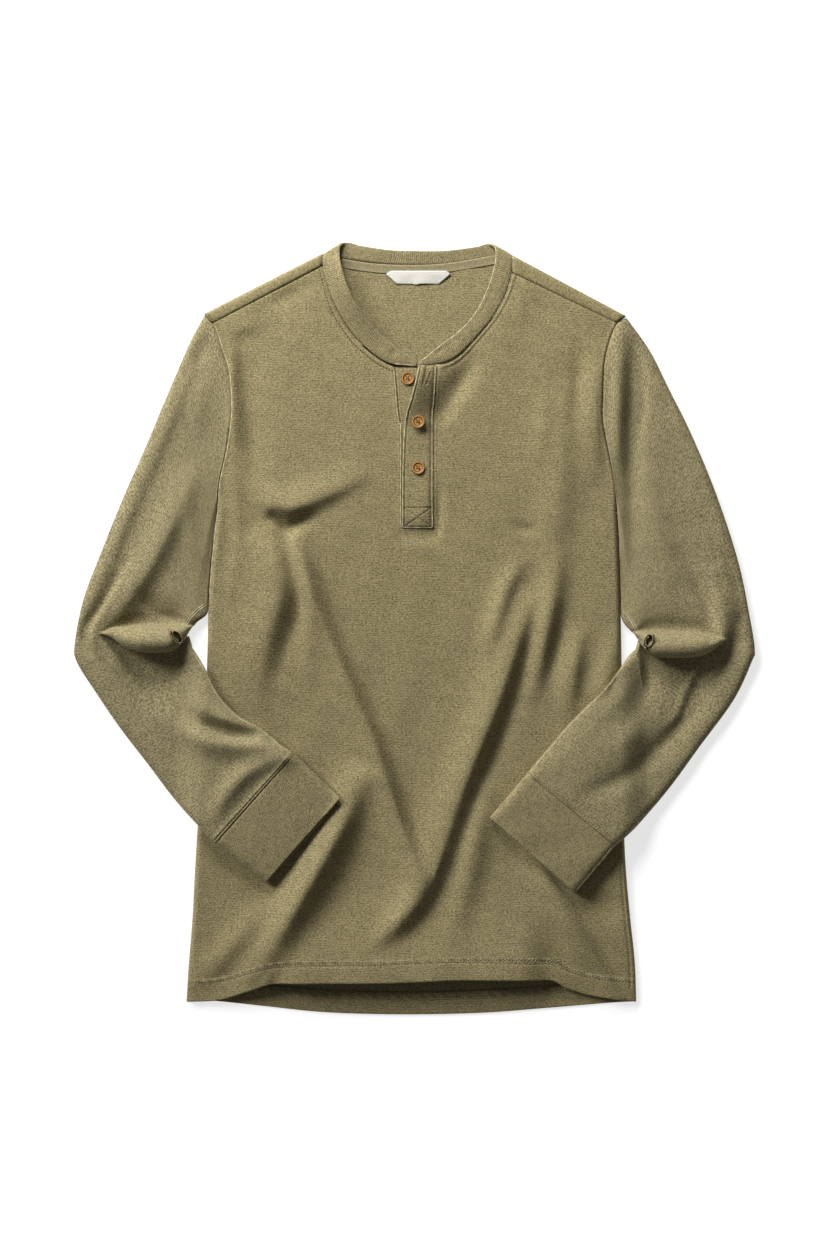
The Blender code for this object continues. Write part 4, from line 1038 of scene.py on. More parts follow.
SLEEVE_FOLDS = {
    -1: (
        Fold("long ridge", ((-293, -4, 0), (-272, 27, 6), (-248, 65, 7), (-229, 104, 6), (-212, 155, 0)), 17, 10),
        Fold("edge ridge", ((-312, 10, 0), (-292, 60, 2.5), (-262, 130, 2.5), (-225, 215, 2), (-206, 262, 0)), 8, 7),
        Fold("forearm trough", (
            (-206, -84, 0), (-190, -94, -5), (-170, -101, -7), (-152, -103, -4), (-144, -102, 0)), 6.5, 4.5),
        Fold("forearm brink", ((-216, -66, 0), (-198, -76, 2.6), (-174, -86, 4), (-154, -90, 2)), 10, 6),
        Fold("forearm ridge", (
            (-244, -70, 0), (-214, -98, 5), (-185, -108, 6), (-150, -110, 5), (-118, -116, 2)), 8, 12),
        Fold("cuff ridge", ((-192, -190, 0), (-183, -165, 4), (-158, -136, 5), (-124, -121, 2)), 9, 8),
        Fold("armhole crease", ((-206, 246, 0), (-203, 262, -2), (-200, 280, 0)), 5, 5),
        Fold("valley round the bend", (
            (-268, 72, 0), (-285, 43, -2.6), (-298, 20, -4), (-311, 0, -4.6), (-312, -14, -3.6), (-305, -28, 0)
        ), 2.8, 7),
        Fold("crest round the bend", (
            (-299, -30, 0), (-304.5, -12, 2.2), (-302, 4, 3), (-288, 28, 2.6), (-264, 70, 0)), 2.2, 15),
        Fold("hollow above the lip", ((-266, 40, 0), (-250, 20, -3), (-226, 10, -3), (-214, 8, 0)), 12, 6),
        Fold("forearm line", ((-244, -96, 0), (-266, -62, 1.3), (-286, -34, 1.3), (-300, -20, 0)), 2.5, 5),
        Fold("underarm drag", ((-200, 60, 0), (-212, 84, 2), (-214, 120, 2.2), (-206, 160, 0)), 8, 8),
        Fold("cap swell", ((-205, 180, 0), (-205, 215, 2.5), (-200, 250, 0)), 9, 10),
    ),
    +1: (
        Fold("armhole ridge", ((193, 140, 0), (192, 180, 5), (193, 225, 6), (194, 265, 4), (196, 285, 0)), 9, 8),
        Fold("armhole trough", ((205, 20, 0), (206, 80, -2.6), (207, 200, -3.4), (206, 268, 0)), 8, 10),
        Fold("long ridge", ((243, 10, 0), (238, 60, 2), (226, 120, 2), (218, 160, 0)), 12, 12),
        Fold("elbow ridge", ((262, -66, 0), (280, -36, 4), (292, -8, 5), (290, 25, 4.5), (278, 62, 0)), 7, 12),
        Fold("forearm trough", (
            (150, -158, 0), (178, -150, -2.6), (205, -136, -2.8), (232, -114, -3.2), (256, -87, -4), (281, -48, -5),
            (299, -20, -5), (305, -3, -3), (303, 16, 0)), 9, 10),
        Fold("forearm ridge", ((140, -130, 0), (190, -110, 2.2), (226, -78, 2.6), (250, -50, 0)), 20, 16),
        Fold("crease above the bend", ((285, 2, 0), (278, 22, -2.4), (264, 50, -2), (250, 84, 0)), 6, 6),
        Fold("outer valley", ((308, 0, 0), (311, 16, -1.6), (305, 44, -2), (292, 80, 0)), 6, 6),
        Fold("forearm crest line", ((236, -98, 0), (252, -78, 1.6), (272, -46, 2.2), (286, -22, 0)), 4, 4),
        Fold("forearm hollow", ((182, -108, 0), (196, -90, -2.2), (214, -66, -2.2), (226, -48, 0)), 13, 12),
        Fold("cap trough", ((206, 282, 0), (212, 256, -3), (214, 220, -3.2), (212, 176, 0)), 7, 9),
    ),
}


@dataclass(frozen=True)
class Tuck:
    """A lip of cloth that folds down over the forearm at the bend of a sleeve.

    Attributes:
        root: x, y points of the line that the lip starts from, with increasing x.
        size: x and the lip's size there, as a share of the path, which pinches to 0 at its ends.
        path: rows of cloth taken, distance forward and rise, from the root line on.
    """

    root: Points2
    size: Points2
    path: Points3 = (
        (-30, -30, 0), (-16, -16, -1.2), (-8, -8, -3.6), (-3, -3, -4), (0, -0.4, -2), (4, 1, 4),
        (8, 3.2, 9.6), (12.5, 6.6, 14.4), (17, 10.8, 17.4), (21.5, 15.4, 18.4), (26, 20, 17), (30, 23.2, 13.6),
        (33.5, 24.8, 9.2), (36.5, 24.8, 4.8), (39.5, 24.2, 0.6), (42.5, 23.4, -3), (47, 27.5, -5.2),
        (54, 37, -5.6), (63, 50, -4.8), (73, 65, -2), (82, 82, 0),
    )

    def move(self, points: Array) -> Array:
        """The points of a sleeve's top with the lip pulled over.

        Args:
            points: x, y, z of the smooth sleeve.

        Returns:
            The points after the tuck.
        """
        root = smooth_line(self.root)
        sizes = smooth_line(self.size)
        path = smooth_line(self.path, 6)
        x, y = points[..., 0], points[..., 1]
        size = read(sizes, x)
        down = (read(root, x) - y) / np.maximum(size, 0.05)
        size = size * ((down > self.path[0][0]) & (down < self.path[-1][0]))
        forward = read(path, down)
        rise = read(path, down, 2)
        moved = points.copy()
        moved[..., 1] = y - size * (forward - down)
        moved[..., 2] += size * rise
        return moved


def overlay(x: Array, y: Array, folds: bool) -> Array:
    """How high the front panel holds up what lies over it.

    Args:
        x: of the points.
        y: of the points.
        folds: whether its folds count.

    Returns:
        The heights, which fall to 0 off the body.
    """
    inside = np.where(x < 0, x - edge_x(y, -1), edge_x(y, 1) - x)
    lift = ease((inside + DRAPE_OUT) / (DRAPE_OUT + DRAPE_IN))
    height = body_top(x, y) if folds else np.full(np.shape(x), REST)
    return lift * (height + OVERLAY)


@dataclass
class Sleeve:
    """A long sleeve, one flattened tube bent at the elbow, and its cuff.

    Attributes:
        side: -1 for the wearer's right, +1 for the left.
        tuck: the lip of cloth at the bend.
    """

    side: int
    tuck: Tuck
    edge_steps: Floats = (0, 0.4, 1, 1.9, 3, 4.2, 5.4, 7, 9)
    rest_steps: Floats = (0.8, 2, 4)
    top_columns: int = 58
    rest_columns: int = 14
    bend_stations: Pair = (5.6, 9.6)
    bend_rows: int = 96
    row_gap: float = 3.4
    armhole_fade: float = 3.0
    snug_stations: Pair = (4.2, 5.2)  # the inner edge leaves the body between these
    snug_round: float = 2.4
    snug_drop: float = 1.6
    lean_reach: float = 20.0
    near_rows: Floats = (0, 0.5, 1.1, 1.8, 2.8, 4.2, 6.2)  # from the armhole
    far_rows: Floats = (6, 4.4, 3.4, 2.8, 2.3, 1.8, 1.2, 0.6, 0)  # from the cuff's seam
    cuff_rise: float = 0.5
    peek: float = 2.6  # how far the cuff's under layer comes out past the upper one
    peek_rows: int = 10
    # ridges and grooves beside the seams: height, distance from the seam and reach
    armhole_seam: Points3 = ((-0.9, 0, 0.8), (0.4, 3, 1.5))
    cuff_seam = {-1: ((-0.9, 0, 0.6), (-0.3, 2.35, 0.5), (0.9, 1.25, 0.6), (0.9, 3.5, 0.8)),
                 +1: ((-1.3, 0, 0.6), (-0.3, 2.35, 0.5), (0.25, 1.25, 0.6), (0.25, 3.5, 0.8))}
    cuff_groove = {-1: ((-0.8, 0, 0.8),), +1: ((-1.2, 0, 0.8),)}
    cloth_shown = {-1: 0.0945, +1: 0.1022}  # square metres all round, with the edges and the lip
    cuff_cut = {-1: (0.238, 0.078), +1: (0.233, 0.075)}  # all round, and the depth with what is turned in
    lean = {-1: ((0, 2.6), (4.6, 2.6), (5.6, 0), (8.6, 0), (9.4, 3.2), (12.6, 3), (13.6, 0)),
            +1: ((0, 2.6), (4.6, 2.6), (5.6, 0), (8.6, 0), (9.4, 2.5), (12, 2.5), (13, 0))}  # station, drop

    @property
    def over(self) -> int:
        """How many points of a ring lie on the upper layer."""
        return 2 * len(self.edge_steps) + self.top_columns - 1

    def at(self, station: float) -> Station:
        """The smoothly interpolated section at a station that need not be whole."""
        steps = 12
        values = smooth_line([astuple(station) for station in SLEEVES[self.side]], steps)
        places = np.arange(len(values)) / steps
        return Station(*(float(np.interp(station, places, column)) for column in values.T))

    def stations(self) -> Array:
        """Stations of the rings: close at the seams and at the bend."""
        last = len(SLEEVES[self.side]) - 1
        middle = np.array([((s.outer_x + s.inner_x) / 2, (s.outer_y + s.inner_y) / 2) for s in SLEEVES[self.side]])
        reach = lengths(middle)
        start, end = self.bend_stations
        long = np.interp([start, end], np.arange(last + 1), reach)
        near = np.array(self.near_rows)
        far = reach[-1] - np.array(self.far_rows)
        parts = [
            near,
            np.linspace(near[-1], long[0], int((long[0] - near[-1]) / self.row_gap))[1:-1],
            np.linspace(long[0], long[1], self.bend_rows),
            np.linspace(long[1], far[0], int((far[0] - long[1]) / self.row_gap))[1:-1],
            far,
        ]
        return np.interp(np.concatenate(parts), reach, np.arange(last + 1))

    def section(self, station: Station, bend: float = 0.0, seam: Array | None = None, snug: float = 0.0,
                lean: float = 0.0, cuff: bool = False) -> tuple[Array, Array]:
        """One ring: over the top from the outer edge to the inner, then back under.

        Args:
            station: the section's edges.
            bend: how much the section follows the armhole's curve, from 0 to 1.
            seam: the armhole's points, needed if bend is above 0.
            snug: how squarely the inner edge lies against the body, from 0 to 1.
            lean: how far the top sinks towards the inner edge.
            cuff: whether this is a cuff, which takes no sleeve fold away from its seam.

        Returns:
            The ring's points, and its places across the cloth, with one more where it closes.
        """
        outer = np.array([station.outer_x, station.outer_y])
        inner = np.array([station.inner_x, station.inner_y])
        on_body = min(max(station.on_body, 0.0), 1.0)
        width = float(np.linalg.norm(inner - outer))
        step = np.array(self.edge_steps)
        over = np.concatenate([
            step, np.linspace(step[-1], width - step[-1], self.top_columns + 1)[1:-1], width - step[::-1],
        ])
        rest = np.array(self.rest_steps)
        under = np.concatenate([
            rest, np.linspace(rest[-1], width - rest[-1], self.rest_columns + 1)[1:-1], width - rest[::-1],
        ])[::-1]
        away = np.concatenate([over, under])
        share = away / width
        plan = outer + (inner - outer) * share[:, None]
        if bend > 0:
            chord = seam[0] + (seam[-1] - seam[0]) * share[:, None]
            plan = plan + bend * (along(seam, share) - chord)
        x, y = plan.T
        floor = on_body * overlay(x, y, True) + (0.1 if on_body < 1 else 0.0)
        folds = fold_height(x, y, SLEEVE_FOLDS[self.side]) + ripples(x, y, 0.3, 5 + self.side)
        top = on_body * overlay(x, y, False) + station.depth + bend * (body_top(x, y) - REST)
        top = np.maximum(top + folds, floor + AIR + 2 * WALL)
        top = top - lean * ease((away - width) / self.lean_reach + 1.0)
        if cuff:
            top += self.cuff_rise
        middle = floor + EDGE_HEIGHT * station.depth
        nearest = np.minimum(away, width - away)
        reach = SLEEVE_ROUND - (SLEEVE_ROUND - self.snug_round) * snug * (away > width / 2)
        middle = middle - self.snug_drop * snug * (away > width / 2)
        top = np.maximum(top, middle + 1.2)
        upper = middle + (top - middle) * round_over(nearest, reach)
        lower = middle - (middle - floor) * round_over(nearest, REST_ROUND)
        z = np.where(np.arange(len(away)) < len(over), upper, lower)
        across = np.concatenate([over, 2 * width - under, [2 * width]])
        return np.column_stack([plan, z]), across

    def grid(self) -> Grid:
        """The sleeve's sheet from the armhole to the cuff seam."""
        table = SLEEVES[self.side]
        armhole = [(row[1 if self.side < 0 else 2] - self.side * 0.3, row[0] - 0.5)
                   for row in BODY_EDGE if row[0] >= ARMPIT]
        seam = np.array([(table[0].outer_x, table[0].outer_y), *armhole[::-1]])
        rings, cloth = [], []
        middle, run = None, 0.0
        for station in self.stations():
            bend = max(0.0, 1.0 - station / self.armhole_fade) ** 2
            here = self.at(station)
            start, end = self.snug_stations
            snug = 1.0 - float(ease((station - start) / (end - start)))
            lean = float(np.interp(station, *zip(*self.lean[self.side])))
            ring, across = self.section(here, bend, seam, snug, lean)
            centre = np.array([(here.outer_x + here.inner_x) / 2, (here.outer_y + here.inner_y) / 2])
            run += 0.0 if middle is None else float(np.linalg.norm(centre - middle))
            middle = centre
            rings.append(ring)
            cloth.append(np.column_stack([across - across[-1] / 4, np.full(len(across), -run)]))
        points = np.array(rings)
        points[:, :self.over] = self.tuck.move(points[:, :self.over])
        pressed = profile(run + np.array(cloth)[:, 0, 1], self.cuff_seam[self.side])
        pressed += profile(-np.array(cloth)[:, 0, 1], self.armhole_seam)
        points[:, :self.over, 2] += pressed[:, None]
        return Grid(points, np.array(cloth), loop=True, flip=self.side < 0)

    def build(self, material: Material, curl: Object) -> Object:
        """The sleeve's piece."""
        word = SIDES[self.side]
        made = self.grid().piece(f"sleeve_body_{word}", material, "knit", f"sleeve_{word}")
        return made

    def cuff_grid(self) -> Grid:
        """The cuff's sheet from its open end, which is turned in, to its seam."""
        start, end = SLEEVES[self.side][-1], CUFF_ENDS[self.side]
        length = math.dist(astuple(start)[:2], astuple(end)[:2])
        from_seam = np.concatenate([[-0.6, 0.0, 0.6, 1.3, 2.2, 3.6], np.linspace(6.0, length - 8.0, 16),
                                    length - np.array([5.5, 3.4, 2.0, 1.0])])
        rings, cloth = [], []
        for away in from_seam[::-1]:
            share = away / length
            station = Station(*(a + (b - a) * share for a, b in zip(astuple(start), astuple(end))))
            ring, across = self.section(station, cuff=True)
            ring[:self.over, 2] += profile(away, self.cuff_groove[self.side])
            rings.append(ring)
            cloth.append(np.column_stack([across - across[-1] / 4, np.full(len(across), -away)]))
        points = np.array(rings)
        outward = unit(points[0] - points[3])
        peek = np.zeros(points.shape[1])
        peek[self.over:] = self.peek * np.sin(np.linspace(0.1, math.pi - 0.1, points.shape[1] - self.over))
        for k, share in enumerate(np.linspace(1.0, 0.0, self.peek_rows)):
            points[k] += share * peek[:, None] * outward
        return Grid(points, np.array(cloth), loop=True, flip=self.side > 0)

    def build_cuff(self, material: Material) -> Object:
        """The cuff's piece."""
        word = SIDES[self.side]
        grid = self.cuff_grid().turned(TURN, range(1, 8))
        made = grid.piece(f"cuff_band_{word}", material, "rib", f"cuff_{word}")
        return made


# ---------- neckband and placket

BAND_RIGHT = (
    (2.6, 249.6, 8.6, 3, 253.4, 8.8), (-9, 250.2, 8.6, -3, 258.4, 8.8),
    (-20, 251.2, 8.6, -12, 264.4, 8.8), (-31, 256, 8.6, -21.5, 271.2, 9.4),
    (-42, 263.8, 8.6, -32, 279.8, 10), (-56, 277.2, 8.6, -44, 292.6, 13),
    (-68, 293.8, 8.6, -54.5, 305.8, 16.4), (-78, 313.2, 8.6, -63, 322.4, 18),
    (-84.8, 333.8, 8.6, -68.4, 339.2, 16.6), (-87, 345.6, 8.6, -70.8, 351.2, 12.6),
    (-87.4, 350.8, 8.4, -71.2, 358.2, 9.4), (-87.4, 354.8, 7, -70.4, 364.2, 7.6),
    (-87.2, 355.8, 4.5, -68.8, 367.2, 4.8), (-86.6, 355, 2, -66.2, 368.2, 2.2),
    (-84.5, 354, 0.4, -61.5, 367.8, 0.6), (-76, 353.2, 0.1, -56.5, 366.4, 0.3),
    (-66, 351, 0.1, -50, 364.6, 0.6), (-28, 346.6, 0.1, -24, 360.8, 1),
)
BAND_LEFT = (
    (3.9, 249.8, 8.6, 3.7, 253.4, 8.8), (14, 250.6, 8.6, 10.4, 258, 8.8),
    (24.5, 252.4, 8.6, 18.4, 264.6, 8.8), (33, 255.4, 8.6, 27.6, 271.8, 8.8),
    (44.5, 263, 8.6, 38.6, 279.8, 8.8), (60, 279.2, 8.6, 50.8, 291.4, 8.8),
    (75.5, 298.4, 8.6, 61.8, 307.2, 8.8), (86.8, 319.8, 8.6, 70.2, 325.8, 8.8),
    (92, 339, 8.6, 75.2, 342.2, 8.8), (92.6, 347, 8.6, 76.8, 351.8, 8.8),
    (93, 350.8, 8.4, 77, 359, 8.5), (93.2, 354.2, 7, 75.6, 363.6, 7.2),
    (93.2, 355.2, 4.5, 73.6, 366.2, 4.6), (92.6, 354.8, 2, 71.4, 367, 2.1),
    (90.5, 355, 0.4, 69, 366.8, 0.6), (84, 354.8, 0.1, 64.5, 365.4, 0.3),
    (75.5, 353.6, 0.1, 59, 363.8, 0.6), (34.5, 347.2, 0.1, 31, 360.2, 1),
)
BAND_BACK = (3.5, 345.4, 0.1, 3.5, 359.8, 1.2)


@dataclass
class Neckband:
    """The band: a folded strip from the centre front round the neck and back to it."""

    steps: int = 6
    crown: float = 0.55
    dent: float = 1.0
    dent_size: float = 7.0  # square millimetres
    dents: Points2 = ((-20.4, 262.2), (24.7, 264.1))
    edges: Points3 = ((-0.3, 0, 0.9 / 17), (0.4, 0.93, 0.05))  # the seam's groove and the folded edge's bead
    shares: Floats = (0, 0.03, 0.07, 0.13, 0.22, 0.34, 0.46, 0.58, 0.7, 0.8, 0.88, 0.94)

    def grid(self) -> Grid:
        """The folded strip: outer face from the seam, over the free edge, and back down inside."""
        line = smooth_line([*BAND_RIGHT, BAND_BACK, *BAND_LEFT[::-1]], self.steps)
        seam, free = line[:, :3], line[:, 3:]
        tangent = np.gradient((seam + free) / 2, axis=0)
        width = np.linalg.norm(free - seam, axis=1, keepdims=True)
        across = (free - seam) / width
        normal = unit(np.cross(across, tangent))
        run = lengths((seam + free) / 2)
        rows, cloth = [], []
        body = width - TURN
        for share in self.shares:
            lift = self.crown * math.sin(math.pi * share) + profile(share, self.edges)
            face = seam + across * body * share + normal * lift
            dents = sum(self.dent * np.exp(-((face[:, 0] - x) ** 2 + (face[:, 1] - y) ** 2) / self.dent_size)
                        for x, y in self.dents)
            face[:, 2] += ripples(face[:, 0], face[:, 1], 0.16, 4, 12.0, 40.0) - dents
            rows.append(face)
            cloth.append(share * body[:, 0])
        for angle in np.linspace(0.0, math.pi, 7):
            out = seam + across * (body + TURN * math.sin(angle))
            rows.append(out - normal * TURN * (1 - math.cos(angle)))
            cloth.append(body[:, 0] + TURN * angle)
        for share in (0.75, 0.5, 0.25, 0.0):
            rows.append(seam + across * body * share - normal * 2 * TURN)
            cloth.append(2 * body[:, 0] + math.pi * TURN - share * body[:, 0])
        places = np.stack([np.broadcast_to(run, (len(rows), len(run))), np.array(cloth)], axis=-1)
        return Grid(np.array(rows), places[..., ::-1].copy(), flip=True)

    def build(self, material: Material) -> Object:
        """The neckband's piece."""
        made = self.grid().piece("neckband_strip", material, "rib", "neckband", thickness=0.6)
        return made


UNDER_STRIP: Points3 = (
    (95.4, -12.2, 14), (140, -11.7, 14), (186, -11.6, 14), (194, -12.8, 14), (209, -14.9, 14.5),
    (227, -16.4, 15), (249.4, -18.4, 16),
)
TOP_STRIP: Points3 = (
    (95.4, -12.2, 18.4), (115, -12, 17.5), (159.5, -11.4, 17.5), (187, -10, 17.5), (203.5, -8, 17.6),
    (217.5, -3.6, 18.9), (234, 0.6, 20), (249.8, 3.8, 21),
)
BUTTONHOLE: Points2 = ((15.2, 243.2), (13.4, 237.5), (10.9, 231.2))


class Layer(Enum):
    """Which strip of the placket."""

    UNDER = "under"
    TOP = "top"


@dataclass
class PlacketStrip:
    """A strip of the placket, its long edges turned under."""

    layer: Layer
    columns: int = 41
    row_gap: float = 1.3
    groove: float = 0.6
    hole_rim: Points3 = ((0.3, 1.3, 0.7), (-0.9, 0, 0.6))  # height, distance from the slit and reach
    bead: Points3 = ((0.2, 1.2, 0.8),)
    box_top: float = 115.2
    stitch_in: float = 2.3  # from the strip's edge to its line of stitches
    collar_lift: float = 2.6
    collar_reach: float = 42.0

    @property
    def table(self) -> Points3:
        """The strip's rows: y, x of the right and of the left edge."""
        return UNDER_STRIP if self.layer is Layer.UNDER else TOP_STRIP

    def face(self, x: Array, y: Array) -> Array:
        """Height of the strip's smooth face.

        Args:
            x: of the points.
            y: of the points.

        Returns:
            The heights, before its grooves and beads.
        """
        if self.layer is Layer.UNDER:
            return body_top(x, y) - 0.4 - PLACKET_LEAN.height(x, y)
        corner = TOP_STRIP[-1]
        lift = bell((y - corner[0]) / self.collar_reach) * np.clip((corner[2] - x) / 18.0, 0.0, 1.0) ** 1.5
        sewn = ease((x - (self.edges(y)[1] - 6.0)) / 6.0)
        sewn = np.maximum(sewn, ease((self.table[0][0] + 14.0 - y) / 12.0))
        return body_top(x, y) + 1.8 - 0.9 * sewn + self.collar_lift * lift

    def edges(self, y: Array) -> tuple[Array, Array]:
        """x of the right and of the left edge at a height."""
        line = smooth_line(self.table, 8)
        return read(line, y), read(line, y, 2)

    def stitch_lines(self) -> list[Array]:
        """The top strip's stitching in plan: along its edges, and the crossed box at its bottom."""
        if self.layer is Layer.UNDER:
            return []
        inset = self.stitch_in
        bottom, top = self.table[0][0], self.table[-1][0]
        low_y, high_y = bottom + 1.6, self.box_top
        y = np.linspace(low_y, top - 0.5, 60)
        low, high = self.edges(y)
        lines = [np.column_stack([low + inset, y]), np.column_stack([high - inset, y])]
        low_x, high_x = (float(edge) for edge in self.edges(bottom))
        a, b = low_x + inset, high_x - inset
        for start, end in (((a, low_y), (b, low_y)), ((a, high_y), (b, high_y)),
                           ((a, low_y), (b, high_y)), ((a, high_y), (b, low_y))):
            lines.append(np.linspace(start, end, 12))
        return lines

    def relief(self, x: Array, y: Array) -> Array:
        """Grooves where the stitches pull the strip down."""
        total = np.zeros(x.shape)
        for line in self.stitch_lines():
            total = np.minimum(total, -self.groove * bell(distance(x, y, line) / 0.6))
        if self.layer is Layer.TOP:
            total += profile(distance(x, y, BUTTONHOLE), self.hole_rim)
        low, high = self.edges(y)
        return total + profile(x - low, self.bead) + profile(high - x, self.bead)

    def grid(self) -> Grid:
        """The strip's sheet, from its bottom up."""
        bottom, top = self.table[0][0], self.table[-1][0]
        y = np.concatenate([
            bottom + np.array([0.0, 0.25, 0.7, 1.3]), np.arange(bottom + 2.0, self.box_top + 3, 0.75),
            np.linspace(self.box_top + 4.0, top, int((top - self.box_top) / self.row_gap)),
        ])
        drop = np.interp(y - bottom, [0.0, 0.25, 0.7, 1.3], [1.9, 1.0, 0.35, 0.0])
        drop += np.interp(top - y, [0.0, 1.0, 2.6], [1.3, 0.7, 0.0])
        low, high = self.edges(y)
        low, high = low + TURN, high - TURN
        share = np.linspace(0.0, 1.0, self.columns)
        x = low[:, None] + (high - low)[:, None] * share
        yy = np.broadcast_to(y[:, None], x.shape)
        z = self.face(x, yy) + self.relief(x, yy) - drop[:, None]
        columns = [np.dstack([x, yy, z])]
        cloth = [x]
        for sign, edge, index in ((-1, low, 0), (1, high, -1)):
            turn, places = [], []
            height = z[:, index]
            for angle in np.linspace(0.0, math.pi, 6)[1:]:
                off = edge + sign * TURN * math.sin(angle)
                turn.append(np.column_stack([off, y, height - TURN * (1 - math.cos(angle))]))
                places.append(edge + sign * TURN * angle)
            for back in (2.5, 6.0):
                turn.append(np.column_stack([edge - sign * back, y, height - 2 * TURN]))
                places.append(edge + sign * (TURN * math.pi + back))
            turn, places = np.stack(turn, axis=1), np.stack(places, axis=1)
            if sign < 0:
                columns.insert(0, turn[:, ::-1])
                cloth.insert(0, places[:, ::-1])
            else:
                columns.append(turn)
                cloth.append(places)
        points = np.concatenate(columns, axis=1)
        across = np.concatenate(cloth, axis=1)
        return Grid(points, np.dstack([across, points[..., 1]]))

    def build(self, material: Material) -> Object:
        """The strip's piece."""
        word = self.layer.value
        made = self.grid().piece(f"placket_strip_{word}", material, "knit", f"placket_{word}", thickness=0.6)
        return made


@dataclass(frozen=True)
class Curl:
    """The rolled inner end of the lip at a bend, open towards the viewer.

    Attributes:
        side: -1 for the wearer's right, +1 for the left.
        centre: x, y of the roll's middle.
        run: the direction of its long way in plan.
        long: half its long way.
        wide: half its short way.
        high: height of its rim.
        tilt: how the rim rises along x and y.
        deep: how it goes on down into the lip.
    """

    side: int
    centre: Pair
    run: Pair
    long: float
    wide: float
    high: float
    tilt: Pair
    deep: tuple[float, float, float]
    turns: float = 1.45
    close: float = 0.5  # how much tighter the roll is at its inner end

    def build(self, material: Material) -> Object:
        """The roll's piece."""
        ahead = np.array(self.run) / math.hypot(*self.run)
        beside = np.array((-ahead[1], ahead[0]))
        share = np.linspace(0.0, 1.0, 56)
        turn = self.side * (2 * math.pi * self.turns * share + math.pi / 2)
        size = 1.0 - self.close * share
        flat = (size * np.cos(turn))[:, None] * beside * self.wide + (size * np.sin(turn))[:, None] * ahead * self.long
        rows = []
        for down in (0.0, 0.06, 0.14, 0.3, 0.5, 0.75, 1.0):
            grown = flat * (0.93 + 0.07 * min(down / 0.14, 1.0) + 0.12 * down) + np.array(self.deep[:2]) * down
            z = self.high + flat @ np.array(self.tilt) + self.deep[2] * down
            rows.append(np.column_stack([np.array(self.centre) + grown, z]))
        grid = Grid(np.array(rows), plan_cloth(np.array(rows)), flip=self.side > 0)
        return grid.piece(f"sleeve_curl_{SIDES[self.side]}", material, "knit", thickness=0.9)


# ---------- stitches and threads

def bars(starts: Array, ends: Array, normals: Array, radius: float, lift: float = 0.25) -> tuple[Array, Array]:
    """Short stitches, each a thread that dives into the cloth at both ends.

    Args:
        starts: where each begins.
        ends: where each ends.
        normals: the cloth's outward directions.
        radius: of the thread.
        lift: how high it stands in its middle.

    Returns:
        The points and the four-sided faces of all of them.
    """
    sides = 5
    shares = np.array([0.0, 0.22, 0.78, 1.0])
    heights = np.array([-0.35, lift, lift, -0.35])
    sizes = radius * np.array([0.45, 1.0, 1.0, 0.45])
    run = ends - starts
    side = unit(np.cross(normals, run))
    angles = 2 * math.pi * np.arange(sides) / sides
    rings = []
    for share, height, size in zip(shares, heights, sizes):
        centre = starts + run * share + normals * height
        ring = [centre + size * (math.cos(a) * side + math.sin(a) * normals) for a in angles]
        rings.append(np.stack(ring, axis=1))
    points = np.stack(rings, axis=1)
    count = len(shares) * sides
    faces = []
    for k in range(len(shares) - 1):
        for s in range(sides):
            n = (s + 1) % sides
            faces.append((k * sides + s, (k + 1) * sides + s, (k + 1) * sides + n, k * sides + n))
    offsets = np.arange(len(starts))[:, None, None] * count
    return points.reshape(-1, 3), (np.array(faces)[None] + offsets).reshape(-1, 4)


